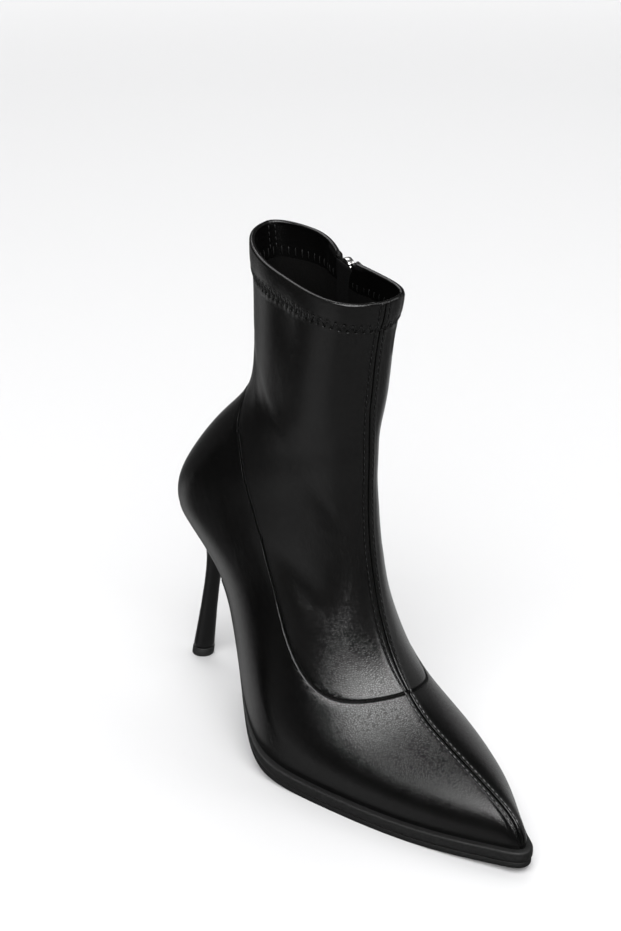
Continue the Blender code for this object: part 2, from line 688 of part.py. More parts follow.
def make_zip_pull():
    """The tab, hanging from a pin under the slider's bridge. Its origin lies on the pin's axis."""
    low, high = PULL_AXIS - PULL_THICK / 2, PULL_AXIS + PULL_THICK / 2
    side = mirrored(PULL_OUTLINE, -(PULL_LENGTH + PIN_HALF), PULL_WIDE / 2) + (PIN_HALF, 0)
    tip = (-PULL_LENGTH, 0.0)
    middle = len(PULL_OUTLINE)
    tab = np.concatenate([side[:middle], [tip], side[middle:]])
    pull = prism("zip_pull", tab, low, high)
    near, far, wide = -PIN_HALF, -PIN_HALF - WINDOW_LENGTH, WINDOW_WIDE / 2
    window = ((near, -wide), (near, wide), (far, wide), (far, -wide))
    boolean(pull, prism("pull_window", window, low - 1, high + 1), "DIFFERENCE")
    pin = place(np.array([0.0, 0.0, PULL_AXIS])) * MM
    for vertex in pull.data.vertices:
        vertex.co -= type(vertex.co)(pin)
    pull.location = pin
    return painted(pull, (0.75, 0.75, 0.76), 0.22, 1.0)


def main():
    for obj in list(bpy.data.objects):
        bpy.data.objects.remove(obj)
    pieces = [make_upper(), make_midsole(), make_outsole(), make_insole(), make_heel(), make_heel_lift(),
              make_zip_tape(), make_zip_teeth(), make_zip_slider(), make_zip_pull()]
    bpy.context.view_layer.update()
    graph = bpy.context.evaluated_depsgraph_get()
    corners = []
    for piece in pieces:
        shape = piece.evaluated_get(graph)
        corners += [shape.matrix_world @ v.co for v in shape.data.vertices]
    corners = np.array(corners)
    middle = (corners.min(axis=0) + corners.max(axis=0)) / 2
    boot = bpy.data.objects.new("boot", None)
    bpy.context.scene.collection.objects.link(boot)
    boot.location = (-middle[0], -middle[1], 0)
    for obj in bpy.data.objects:
        if obj != boot:
            obj.parent = boot


main()
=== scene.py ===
"""Looks of the pointed-toe boot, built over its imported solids.

All sizes are in millimetres in the boot's own frame: x from the heel tip to the toe, y to the inner
side of the foot, z up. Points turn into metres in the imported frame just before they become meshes.
"""
import json
import math

import bmesh
import bpy
import numpy as np
from mathutils import Matrix, Quaternion, Vector


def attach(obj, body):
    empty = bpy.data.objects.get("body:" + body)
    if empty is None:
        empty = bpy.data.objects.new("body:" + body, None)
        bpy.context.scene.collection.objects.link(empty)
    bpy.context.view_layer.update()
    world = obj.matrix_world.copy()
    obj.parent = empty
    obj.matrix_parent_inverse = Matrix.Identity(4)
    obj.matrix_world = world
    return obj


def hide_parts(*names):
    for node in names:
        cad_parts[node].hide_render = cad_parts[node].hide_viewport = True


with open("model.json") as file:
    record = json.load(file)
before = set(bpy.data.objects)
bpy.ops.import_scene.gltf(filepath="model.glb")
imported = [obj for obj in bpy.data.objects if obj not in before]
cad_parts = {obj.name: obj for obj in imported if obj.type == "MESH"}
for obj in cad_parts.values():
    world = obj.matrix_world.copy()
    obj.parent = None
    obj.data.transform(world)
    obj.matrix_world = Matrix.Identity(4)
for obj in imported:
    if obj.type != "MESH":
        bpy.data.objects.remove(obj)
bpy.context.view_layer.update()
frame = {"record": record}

MM = 0.001
HEEL_TIP = np.array(next(m["pos_m"] for m in frame["record"]["mounts"] if m["name"] == "heel_rest"))
BODY = "boot"

# Sizes that the solids have too
COLLAR_HEIGHT = 214.0
WALL = 1.5
GAP = 0.3
HEM_STEP = 0.6
OUTSOLE_THICK = 2.7
MIDSOLE_THICK = 4.4
WAIST_THICK = 0.9
INSOLE_THICK = 2.0
LEDGE = 3.0
OUTSOLE_INSET = 0.5
HEEL_BREAST = 37.0
LIFT_DIAMETER = 9.8
LIFT_HEIGHT = 4.0
STEM_LEAN = (0.14, 0.05)
ZIP_FOOT = (68.0, 62.0)
ZIP_HEAD_X = 81.5
ZIP_HALF = 5.3
ZIP_CHAIN = 6.6
ZIP_CAP = 4.0
TAPE_THICK = 0.6
SLIDER_HEIGHT = 203.0
SLIDER_LENGTH = 13.0
SLIDER_WIDE = 9.6
SLIDER_BASE = -0.9
SLIDER_TOP = 2.0
BRIDGE_WIDE = 2.4
PULL_LENGTH = 22.5
PULL_WIDE = 8.2
PULL_THICK = 1.3
PULL_AXIS = 3.6
PIN_HALF = 0.7
WINDOW_LENGTH = 4.9
WINDOW_WIDE = 3.4
DENT_MIDDLE = 0.60
DENT_HALF = 0.42

# Sizes of the finer forms made here
PANEL_STEP = 0.25
HEM_PITCH = 3.3
ZIGZAG_LOW = 0.9
ZIGZAG_HIGH = -2.9
ZIP_STITCH = 7.7
SLOT_ROUND = 5.0
BACK_ROW = 1.75
PANEL_LENGTH = 92.0
HEM_TICKS = (12.2, 8.8)
LINING_TOP = 13.0
TAPE_BELOW = 5.0
COIL_PITCH = 1.55
FAR = 99.0
WELD_DISTANCE = 1e-6

# Length of a stitch and the gap to the next one
VAMP_STITCH = (1.8, 0.9)
SHAFT_STITCH = (1.95, 0.8)
PANEL_STITCH = (1.3, 0.8)
INSIDE_STITCH = (1.9, 0.7)

SECTION_COLUMNS = (
    "low_x", "low_z", "low_y", "top_x", "top_z", "top_y", "lateral", "medial",
    "widest", "crown", "shoulder", "spread", "twist", "dent",
)
SECTIONS = (
    ("toe tip", 216.5, 10.3, 0.0, 216.5, 10.3, 0.0, 0.0, 0.0, 0.30, 0.50, 0.50, 0.94, 0.0, 0.0),
    ("toe end", 214.2, 10.1, 0.0, 214.6, 17.0, 0.0, 3.3, 3.3, 0.30, 0.50, 0.50, 0.94, 0.0, 0.0),
    ("toe box", 207.5, 9.6, 0.0, 207.8, 22.8, 0.0, 6.8, 6.8, 0.30, 0.48, 0.48, 0.94, 0.0, 0.0),
    ("toe rise", 196.5, 8.9, 0.0, 197.0, 27.0, 0.0, 12.4, 13.4, 0.28, 0.40, 0.42, 0.94, 0.0, 0.0),
    ("vamp low", 182.0, 8.0, 0.0, 183.0, 31.4, 0.0, 18.8, 21.2, 0.27, 0.32, 0.38, 0.94, 0.0, 0.0),
    ("vamp", 165.0, 7.4, 0.0, 167.0, 36.4, 0.0, 25.0, 28.2, 0.26, 0.25, 0.35, 0.94, 0.0, 0.0),
    ("tread", 146.0, 7.3, 0.0, 151.0, 43.0, 0.0, 30.6, 33.8, 0.25, 0.20, 0.32, 0.94, 0.0, 0.0),
    ("ball", 125.0, 7.5, 0.0, 140.5, 51.0, 0.0, 35.8, 36.3, 0.25, 0.18, 0.32, 0.94, 0.0, 0.0),
    ("ball back", 106.0, 10.5, 0.0, 133.0, 61.0, 0.0, 40.0, 34.0, 0.27, 0.20, 0.35, 0.93, 1.0, 0.0),
    ("waist front", 88.0, 21.0, 0.5, 127.5, 72.0, 0.0, 40.0, 30.0, 0.30, 0.25, 0.40, 0.90, 3.5, 0.0),
    ("waist", 66.0, 42.5, 2.0, 123.5, 83.0, 0.0, 34.5, 25.0, 0.34, 0.35, 0.50, 0.74, 6.0, 0.0),
    ("seat front", 44.0, 59.0, 4.0, 120.5, 95.0, 0.0, 29.5, 23.5, 0.36, 0.45, 0.55, 0.55, 5.0, 0.0),
    ("seat", 23.0, 68.5, 5.0, 118.5, 107.0, 0.0, 29.0, 23.5, 0.34, 0.50, 0.60, 0.36, 2.5, 0.0),
    ("heel", 7.0, 73.5, 6.0, 117.6, 119.0, 0.0, 29.5, 23.5, 0.30, 0.55, 0.60, 0.24, 0.0, 0.0),
    ("heel end", -3.5, 78.5, 6.5, 117.4, 130.0, 0.0, 29.5, 23.0, 0.28, 0.55, 0.60, 0.0, 0.0, 0.0),
    ("counter", -6.5, 90.0, 7.0, 117.5, 139.0, 0.0, 28.5, 22.0, 0.30, 0.60, 0.60, 0.0, 0.0, 0.0),
    ("counter high", 0.5, 106.0, 7.5, 117.6, 147.0, 0.0, 26.0, 21.0, 0.36, 0.60, 0.60, 0.0, 0.0, 0.0),
    ("counter top", 17.0, 126.0, 8.0, 117.8, 154.0, 0.0, 24.5, 20.0, 0.42, 0.65, 0.60, 0.0, 0.0, 0.0),
    ("ankle low", 33.0, 142.0, 8.5, 118.2, 161.0, 0.0, 23.5, 19.0, 0.46, 0.75, 0.60, 0.0, 0.0, 0.0),
    ("ankle", 41.0, 158.0, 9.0, 119.0, 170.0, 0.5, 24.5, 18.0, 0.48, 0.80, 0.60, 0.0, 0.0, 0.5),
    ("shaft", 41.0, 176.0, 9.5, 120.2, 182.0, 1.0, 25.0, 17.0, 0.50, 0.88, 0.60, 0.0, 0.0, 2.0),
    ("shaft high", 39.5, 195.0, 10.0, 122.5, 195.5, 1.5, 25.0, 16.0, 0.50, 0.95, 0.60, 0.0, 0.0, 4.0),
    ("collar", 37.0, 214.0, 10.0, 125.8, 209.0, 2.0, 25.0, 15.5, 0.50, 0.98, 0.60, 0.0, 0.0, 6.0),
)
NAMES = [row[0] for row in SECTIONS]
HEEL_END = NAMES.index("heel end")
COLLAR = NAMES.index("collar")
PANEL_SEAM = (
    # outer x, outer z, inner x, inner z
    (28.0, 156.0, 28.0, 154.0),
    (47.0, 151.5, 41.0, 143.0),
    (58.0, 134.0, 49.0, 127.0),
    (70.0, 111.0, 58.0, 105.0),
    (85.0, 86.0, 74.0, 86.0),
    (103.0, 64.0, 95.0, 63.0),
    (117.0, 49.5, 114.0, 48.0),
    (130.0, 43.5, 131.0, 41.5),
    (145.0, 47.0, 145.0, 47.0),
)
PANEL_WALL_Y = 25.0


# The last's surface, as in the solids

def cubic(values):
    count = len(values)
    matrix = np.eye(count)
    right = np.zeros(count)
    for i in range(1, count - 1):
        matrix[i, i - 1:i + 2] = 1, 4, 1
        right[i] = 6 * (values[i - 1] - 2 * values[i] + values[i + 1])
    return np.linalg.solve(matrix, right)


def read_cubic(values, bends, at):
    i = np.clip(np.floor(at).astype(int), 0, len(values) - 2)
    b = at - i
    a = 1 - b
    bend = (a ** 3 - a) * bends[i] + (b ** 3 - b) * bends[i + 1]
    return a * values[i] + b * values[i + 1] + bend / 6


def bezier(t, a, b, c, d):
    u = 1 - t
    return u ** 3 * a + 3 * u * u * t * b + 3 * u * t * t * c + t ** 3 * d


def section_splines():
    splines = {}
    for i, name in enumerate(SECTION_COLUMNS):
        values = np.array([row[i + 1] for row in SECTIONS], float)
        odd = name in ("low_z", "top_z", "lateral", "medial")
        before = 2 * values[0] - values[1] if odd else values[1]
        values = np.concatenate([[before], values])
        splines[name] = (values, cubic(values))
    return splines


SPLINES = section_splines()


def column(name, station):
    return read_cubic(*SPLINES[name], np.asarray(station, float) + 1)


def girth_shape(c, turn):
    foot = np.sqrt(np.clip(c["spread"], 0, 1))
    up = np.clip(turn, 0, 1)
    down = np.clip(turn - 1, 0, 1)
    out_up = bezier(up, 0, c["crown"], 1, 1)
    share_up = c["widest"] + (1 - c["widest"]) * bezier(up, 1, 1, c["shoulder"], 0)
    out_down = bezier(down, 1, 1, foot + (1 - foot) * 0.55, foot)
    share_down = c["widest"] * (1 - bezier(down, 0, 0.55 - 0.22 * foot, 1 - 0.33 * foot, 1))
    upper = turn <= 1
    return np.where(upper, share_up, share_down), np.where(upper, out_up, out_down)


def section_at(station):
    c = {name: column(name, station) for name in SECTION_COLUMNS}
    c["spread"] = np.where(np.asarray(station) < HEEL_END, c["spread"], 0)
    return c


def last_point(station, around):
    """Points of the last.

    around runs from -2, the outer bottom edge, over 0, the ridge, to 2, the inner bottom edge."""
    station, around = np.broadcast_arrays(np.asarray(station, float), np.asarray(around, float))
    c = section_at(station)
    side = np.where(around < 0, -1.0, 1.0)
    share, out = girth_shape(c, np.abs(around))
    half = np.where(side < 0, c["lateral"], c["medial"])
    press = np.clip(1 - ((share - DENT_MIDDLE) / DENT_HALF) ** 2, 0, 1) ** 2 * (side > 0)
    x = c["low_x"] + (c["top_x"] - c["low_x"]) * share
    y = c["low_y"] + (c["top_y"] - c["low_y"]) * share + side * out * half - c["dent"] * press
    z = c["low_z"] + (c["top_z"] - c["low_z"]) * share + side * c["twist"] * out * (1 - share)
    return np.stack([x, y, z], -1)


def last_normal(station, around):
    station, around = np.broadcast_arrays(np.asarray(station, float), np.asarray(around, float))
    step = 0.02
    ahead = last_point(np.minimum(station + step, COLLAR), around)
    behind = last_point(np.maximum(station - step, step), around)
    inner = last_point(station, np.minimum(around + step, 2))
    outer = last_point(station, np.maximum(around - step, -2))
    at_back = (np.abs(around) > 2 - step) & (station >= HEEL_END)
    back_inner = last_point(station, np.full_like(around, step - 2))
    back_outer = last_point(station, np.full_like(around, 2 - step))
    across = np.where(at_back[..., None], back_inner - back_outer, inner - outer)
    normal = np.cross(across, ahead - behind)
    return normal / np.maximum(np.linalg.norm(normal, axis=-1, keepdims=True), 1e-9)


def bisect(low, high, above):
    for _ in range(40):
        middle = (low + high) / 2
        past = above(middle)
        low, high = np.where(past, low, middle), np.where(past, middle, high)
    return (low + high) / 2


def find_on_side(x, z, side):
    """Station and place around of the point that shows at x, z in the side view."""
    x, z = np.broadcast_arrays(np.asarray(x, float), np.asarray(z, float))

    def behind(station):
        c = section_at(station)
        run, rise = c["top_x"] - c["low_x"], c["top_z"] - c["low_z"]
        return run * (z - c["low_z"]) - rise * (x - c["low_x"]) < 0

    station = bisect(np.full(x.shape, 1.0), np.full(x.shape, float(COLLAR)), behind)
    c = section_at(station)
    run, rise = c["top_x"] - c["low_x"], c["top_z"] - c["low_z"]
    share = ((x - c["low_x"]) * run + (z - c["low_z"]) * rise) / (run ** 2 + rise ** 2)
    turn = bisect(np.zeros(x.shape), np.full(x.shape, 2.0), lambda t: girth_shape(c, t)[0] < share)
    return station, side * turn


# Stations by length along the boot

DENSE_STATIONS = np.linspace(0, COLLAR, 2201)


def length_table():
    total = np.zeros(len(DENSE_STATIONS))
    places = (-2.0, -1.0, 0.0, 1.0, 2.0)
    for around in places:
        steps = np.linalg.norm(np.diff(last_point(DENSE_STATIONS, around), axis=0), axis=1)
        total[1:] += np.cumsum(steps) / len(places)
    return total


LENGTHS = length_table()
BOOT_LENGTH = LENGTHS[-1]


def station_of(length):
    return np.interp(length, LENGTHS, DENSE_STATIONS)


def length_of(station):
    return np.interp(station, DENSE_STATIONS, LENGTHS)


# Small helpers for meshes and materials

def smooth(x, low, high):
    t = np.clip((x - low) / (high - low), 0, 1)
    return t * t * (3 - 2 * t)


def bell(x, width):
    return np.exp(-(x / width) ** 2)


def add_mesh(name, points, faces, material, body=BODY):
    """A piece from points in millimetres of the boot's frame."""
    mesh = bpy.data.meshes.new(name)
    world = np.asarray(points, float) * MM + HEEL_TIP
    mesh.from_pydata([tuple(p) for p in world], [], faces)
    mesh.materials.append(material)
    mesh.validate()
    mesh.shade_smooth()
    obj = bpy.data.objects.new(name, mesh)
    bpy.context.scene.collection.objects.link(obj)
    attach(obj, body)
    return obj


def weld(obj):
    """Merges doubled points and drops faces with no area."""
    work = bmesh.new()
    work.from_mesh(obj.data)
    bmesh.ops.remove_doubles(work, verts=work.verts, dist=WELD_DISTANCE)
    bmesh.ops.dissolve_degenerate(work, dist=WELD_DISTANCE, edges=work.edges)
    loose = [v for v in work.verts if not v.link_faces]
    bmesh.ops.delete(work, geom=loose, context="VERTS")
    work.to_mesh(obj.data)
    work.free()


def set_attribute(obj, name, values):
    attribute = obj.data.attributes.new(name, "FLOAT", "POINT")
    attribute.data.foreach_set("value", np.asarray(values, np.float32).ravel())


def grid_faces(rows, columns):
    """Quads of a grid of points."""
    i, j = np.meshgrid(np.arange(rows - 1), np.arange(columns - 1), indexing="ij")
    a = i * columns + j
    return np.stack([a, a + 1, a + columns + 1, a + columns], -1).reshape(-1, 4)


def lofted(name, rings, material, body=BODY, cap_first=True):
    """A piece through rings of points, with flat ends."""
    rings = np.asarray(rings, float)
    count = rings.shape[1]
    closed = np.concatenate([rings, rings[:, :1]], 1)
    faces = grid_faces(len(rings), count + 1).tolist()
    if cap_first:
        faces.append(list(range(count))[::-1])
    faces.append([(len(rings) - 1) * (count + 1) + j for j in range(count)])
    obj = add_mesh(name, closed.reshape(-1, 3), faces, material, body)
    weld(obj)
    work = bmesh.new()
    work.from_mesh(obj.data)
    bmesh.ops.recalc_face_normals(work, faces=work.faces)
    work.to_mesh(obj.data)
    work.free()
    return obj


class Nodes:
    """Short calls for a material's nodes."""

    def __init__(self, name):
        self.material = bpy.data.materials.new(name)
        self.material.use_nodes = True
        self.tree = self.material.node_tree
        self.shader = self.tree.nodes["Principled BSDF"]
        self.place = self.new("ShaderNodeTexCoord").outputs["Object"]

    def new(self, kind, **settings):
        node = self.tree.nodes.new(kind)
        for key, value in settings.items():
            setattr(node, key, value)
        return node

    def link(self, a, b):
        self.tree.links.new(a, b)

    def put(self, socket, value):
        if isinstance(value, bpy.types.NodeSocket):
            self.link(value, socket)
        else:
            socket.default_value = value

    def set(self, **values):
        """Shader inputs, by name with _ for a space."""
        for key, value in values.items():
            self.put(self.shader.inputs[key.replace("_", " ")], value)

    def math(self, operation, a, b=0.0):
        node = self.new("ShaderNodeMath", operation=operation)
        for socket, value in zip(node.inputs, (a, b)):
            self.put(socket, value)
        return node.outputs[0]

    def attribute(self, name):
        return self.new("ShaderNodeAttribute", attribute_name=name).outputs["Fac"]

    def scaled(self, scale):
        node = self.new("ShaderNodeMapping")
        self.link(self.place, node.inputs["Vector"])
        node.inputs["Scale"].default_value = scale
        return node.outputs["Vector"]

    def noise(self, scale, detail=2.0, rough=0.5, distortion=0.0, vector=None):
        node = self.new("ShaderNodeTexNoise")
        self.link(vector or self.place, node.inputs["Vector"])
        node.inputs["Scale"].default_value = scale
        node.inputs["Detail"].default_value = detail
        node.inputs["Roughness"].default_value = rough
        node.inputs["Distortion"].default_value = distortion
        return node.outputs["Fac"]

    def cells(self, scale, feature="F1", vector=None):
        node = self.new("ShaderNodeTexVoronoi", feature=feature)
        self.link(vector or self.place, node.inputs["Vector"])
        node.inputs["Scale"].default_value = scale
        return node.outputs["Distance"]

    def remap(self, value, a, b, c, d, kind="LINEAR"):
        node = self.new("ShaderNodeMapRange", interpolation_type=kind)
        for socket, v in zip(list(node.inputs)[:5], (value, a, b, c, d)):
            self.put(socket, v)
        return node.outputs[0]

    def bump(self, height, strength, distance, normal=None):
        node = self.new("ShaderNodeBump")
        self.link(height, node.inputs["Height"])
        node.inputs["Strength"].default_value = strength
        node.inputs["Distance"].default_value = distance
        if normal is not None:
            self.link(normal, node.inputs["Normal"])
        return node.outputs["Normal"]

    def mix(self, share, a, b):
        node = self.new("ShaderNodeMix", data_type="RGBA")
        self.put(node.inputs[0], share)
        self.put(node.inputs[6], a)
        self.put(node.inputs[7], b)
        return node.outputs[2]

    def hypot(self, a, b):
        return self.math("SQRT", self.sum(self.math("MULTIPLY", a, a), self.math("MULTIPLY", b, b)))

    def sum(self, *values):
        total = values[0]
        for value in values[1:]:
            total = self.math("ADD", total, value)
        return total


def grey(value, warm=0.0):
    return (value * (1 + warm), value, value * (1 - warm), 1)


def leather_material():
    """Satin black nappa: fine cracked grain, puckers at the hem, painted shade in its seams, stitch rows,
    hem holes and grain cracks, and a paler sock as painted sheen.
    """
    n = Nodes("black_nappa")
    warp = n.new("ShaderNodeTexNoise")
    n.link(n.place, warp.inputs["Vector"])
    warp.inputs["Scale"].default_value = 260
    shift = n.new("ShaderNodeVectorMath", operation="MULTIPLY_ADD")
    n.link(warp.outputs["Color"], shift.inputs[0])
    shift.inputs[1].default_value = (0.0013, 0.0013, 0.0013)
    n.link(n.place, shift.inputs[2])
    stretch = n.new("ShaderNodeMapping")
    n.link(shift.outputs[0], stretch.inputs["Vector"])
    stretch.inputs["Rotation"].default_value = (0.0, 0.5, 0.25)
    stretch.inputs["Scale"].default_value = (1.0, 0.4, 1.0)
    edge = n.cells(1550, "DISTANCE_TO_EDGE", vector=stretch.outputs[0])
    grain = n.remap(edge, 0.0, 0.40, 0.0, 1.0, "SMOOTHSTEP")
    # Painted shade in the grain's cracks: less shine along the cells' edges
    crack_shade = n.remap(edge, 0.0, 0.22, 0.40, 1.0, "SMOOTHSTEP")
    worm = n.noise(1900, 2.0, 0.5, 0.3, vector=stretch.outputs[0])
    seam = n.attribute("seam")
    sock = n.remap(seam, -3.0, 0.0, 1.0, 0.0, "SMOOTHSTEP")
    # Fine wrinkles, which run down and forward on the sock
    turned = n.new("ShaderNodeMapping")
    n.link(n.place, turned.inputs["Vector"])
    turned.inputs["Rotation"].default_value = (0.0, 0.66, 0.0)
    slant = n.new("ShaderNodeMapping")
    n.link(turned.outputs["Vector"], slant.inputs["Vector"])
    slant.inputs["Scale"].default_value = (330, 200, 42)
    streaks = n.noise(1.0, 0.5, 0.5, 0.2, vector=slant.outputs["Vector"])
    streaks = n.math("MULTIPLY", streaks, n.remap(sock, 0.0, 1.0, 0.3, 1.0))
    broad = n.noise(34, 3.0, 0.55)
    # Painted shade in the seams, in the stitch rows and at the zigzag's holes: darker colour, rougher and
    # less shine there
    groove = n.math("ABSOLUTE", n.math("SUBTRACT", seam, 0.3))
    groove = n.remap(groove, 0.25, 0.95, 1.0, 0.0, "SMOOTHSTEP")
    crack = n.remap(n.attribute("front"), 0.0, 0.45, 1.0, 0.0, "SMOOTHSTEP")
    row = n.remap(n.attribute("row"), 0.1, 0.5, 0.45, 0.0, "SMOOTHSTEP")
    hem = n.attribute("hem")
    beat = n.math("PINGPONG", n.attribute("arc"), HEM_PITCH / 2)
    low_hole = n.hypot(beat, n.math("SUBTRACT", hem, ZIGZAG_LOW))
    high_hole = n.hypot(n.math("SUBTRACT", HEM_PITCH / 2, beat), n.math("SUBTRACT", hem, ZIGZAG_HIGH))
    hole = n.remap(n.math("MINIMUM", low_hole, high_hole), 0.3, 0.8, 1.0, 0.0, "SMOOTHSTEP")
    dark = n.math("MAXIMUM", n.math("MAXIMUM", groove, crack), n.math("MAXIMUM", row, hole))
    # Puckers along the hem's stitching
    band = n.remap(n.math("ABSOLUTE", n.math("ADD", hem, 0.6)), 1.2, 4.2, 1.0, 0.0, "SMOOTHSTEP")
    crumple = n.noise(620, 2.0, 0.5, 0.6)
    pucker = n.math("MULTIPLY", n.sum(n.math("MULTIPLY", beat, 0.6), crumple), band)
    # The sock above the panel seam gets a paler base than the panel: painted sheen on the sock and
    # painted shade on the panel, over a tone that varies at random
    pale = n.remap(n.sum(broad, n.math("MULTIPLY", sock, 0.9)), 0.3, 1.6, 0.0, 1.0)
    base = n.mix(pale, grey(0.0012, 0.02), grey(0.0046, 0.02))
    n.set(Base_Color=n.mix(dark, base, grey(0.0006)))
    n.set(Roughness=n.sum(n.remap(broad, 0.3, 0.7, 0.17, 0.22), n.math("MULTIPLY", dark, 0.3)))
    shine = n.remap(dark, 0.0, 1.0, 0.72, 0.12)
    n.set(IOR=1.5, Specular_IOR_Level=n.math("MULTIPLY", shine, crack_shade))
    fine = n.bump(n.sum(grain, n.math("MULTIPLY", worm, 0.5)), 0.9, 0.000026)
    wrinkled = n.bump(streaks, 0.14, 0.0003, fine)
    puckered = n.bump(pucker, 0.5, 0.0005, wrinkled)
    n.set(Normal=n.bump(n.math("MULTIPLY", dark, -1.0), 0.8, 0.0004, puckered))
    return n.material


def simple_material(name, fine, bump, broad, tones, roughness, level):
    """A dark material: fine noise gives its bump, if any, and broad noise its tone."""
    n = Nodes(name)
    n.set(Base_Color=n.mix(n.noise(*broad), *tones), Roughness=roughness, Specular_IOR_Level=level)
    if bump:
        n.set(Normal=n.bump(n.noise(*fine), *bump))
    return n.material


def thread_material(name, tone, roughness, level):
    n = Nodes(name)
    twist = n.noise(2600, 2.0)
    n.set(Base_Color=grey(tone), Roughness=roughness, Specular_IOR_Level=level)
    n.set(Normal=n.bump(twist, 0.5, 0.0001))
    return n.material


def rubber_material():
    n = Nodes("sole_rubber")
    speck = n.noise(1000, 4.0, 0.75)
    broad = n.noise(60, 3.0, 0.5)
    scuff = n.remap(n.noise(420, 4.0, 0.7), 0.69, 0.76, 0.0, 1.0, "SMOOTHSTEP")
    base = n.mix(n.remap(speck, 0.4, 0.6, 0.0, 1.0), grey(0.003), grey(0.010))
    n.set(Base_Color=n.mix(n.math("MULTIPLY", scuff, 0.5), base, grey(0.05)))
    n.set(Roughness=n.remap(broad, 0.3, 0.7, 0.50, 0.60), Specular_IOR_Level=0.4)
    n.set(Normal=n.bump(speck, 0.8, 0.0003))
    return n.material


def heel_material():
    n = Nodes("wrapped_heel")
    broad = n.noise(50, 3.0, 0.5)
    fine = n.cells(1500, "F1")
    n.set(Base_Color=n.mix(broad, grey(0.004), grey(0.006)))
    n.set(Roughness=n.remap(broad, 0.3, 0.7, 0.30, 0.38), Specular_IOR_Level=0.45)
    n.set(Normal=n.bump(fine, 0.12, 0.0001))
    return n.material


def tape_material():
    n = Nodes("zip_tape_weave")
    weave = n.new("ShaderNodeTexWave", wave_type="BANDS", bands_direction="Z", wave_profile="SIN")
    n.link(n.place, weave.inputs["Vector"])
    weave.inputs["Scale"].default_value = 330
    weave.inputs["Distortion"].default_value = 1.5
    n.set(Base_Color=n.mix(weave.outputs["Fac"], grey(0.001), grey(0.003)))
    n.set(Roughness=0.85, Specular_IOR_Level=0.15)
    n.set(Normal=n.bump(weave.outputs["Fac"], 0.6, 0.0002))
    return n.material


def nickel_material():
    n = Nodes("nickel")
    brushed = n.noise(1400, 3.0, 0.6, vector=n.scaled((1.0, 1.0, 0.15)))
    broad = n.noise(160, 2.0)
    n.set(Base_Color=n.mix(broad, (0.78, 0.77, 0.75, 1), (0.86, 0.85, 0.83, 1)), Metallic=1.0)
    n.set(Roughness=n.remap(brushed, 0.3, 0.7, 0.16, 0.28))
    n.set(Normal=n.bump(brushed, 0.06, 0.00005))
    return n.material


LEATHER = leather_material()
LINING = simple_material(
    "dark_lining", (900, 4.0, 0.7), (0.6, 0.0003), (60, 3.0, 0.6),
    (grey(0.0008, 0.05), grey(0.003, 0.05)), 0.9, 0.1,
)
THREAD = thread_material("black_thread", 0.006, 0.45, 0.35)
# A darker, duller copy of the black thread for the panel seam's stitches: painted shade
PAINTED_SHADE_THREAD = thread_material("thread_with_painted_shade", 0.003, 0.6, 0.1)
# A paler, shinier copy of the black thread for the vamp's stitches: a painted glint
PAINTED_GLINT_THREAD = thread_material("thread_with_painted_glint", 0.07, 0.30, 0.8)
RUBBER = rubber_material()
TREAD = simple_material(
    "tread_rubber", (900, 4.0, 0.6), (0.4, 0.0002), (45, 3.0, 0.5),
    (grey(0.004), grey(0.007)), 0.66, 0.35,
)
HEEL_WRAP = heel_material()
LIFT = simple_material(
    "lift_plastic", (1800, 3.0, 0.6), (0.3, 0.0001), (1800, 3.0, 0.6),
    (grey(0.010), grey(0.018)), 0.55, 0.5,
)
TAPE = tape_material()
COIL = simple_material(
    "nylon_coil", None, None, (1200, 2.0), (grey(0.010), grey(0.018)), 0.33, 0.55,
)
NICKEL = nickel_material()


# Lines on the upper: the zip, the lower panel's seam and the hem

def zip_line(height):
    climb = (height - ZIP_FOOT[1]) / (COLLAR_HEIGHT - ZIP_FOOT[1])
    return ZIP_FOOT[0] + (ZIP_HEAD_X - ZIP_FOOT[0]) * np.clip(climb, 0, None) ** 2


def zip_stretch(height):
    """How much wider the zip's widths are along x, because it leans."""
    slope = (zip_line(height + 1) - zip_line(height - 1)) / 2
    return np.sqrt(1 + slope ** 2)


def zip_across(points):
    """How far forward of the zip's centre points lie, measured square to it in the side view."""
    height = points[..., 2]
    return (points[..., 0] - zip_line(height)) / zip_stretch(height)


def beside_zip(height, offset):
    """Station and place around of points at a distance forward of the zip's centre."""
    return find_on_side(zip_line(height) + offset * zip_stretch(height), height, 1)


def panel_line(side):
    """The seam's points on one side, from the back to the ridge.

    They blend between the sides as in the solids."""
    count = 160
    table = np.array(PANEL_SEAM)
    at = np.linspace(0, len(table) - 1, count)
    curve = [read_cubic(table[:, k], cubic(table[:, k]), at) for k in range(4)]
    y = np.full(count, PANEL_WALL_Y * side)
    for _ in range(6):
        blend = 0.5 + 0.5 * y / PANEL_WALL_Y
        x = curve[0] + (curve[2] - curve[0]) * blend
        z = curve[1] + (curve[3] - curve[1]) * blend
        station, around = find_on_side(x, z, side)
        y = last_point(station, around)[:, 1]
    return station, around


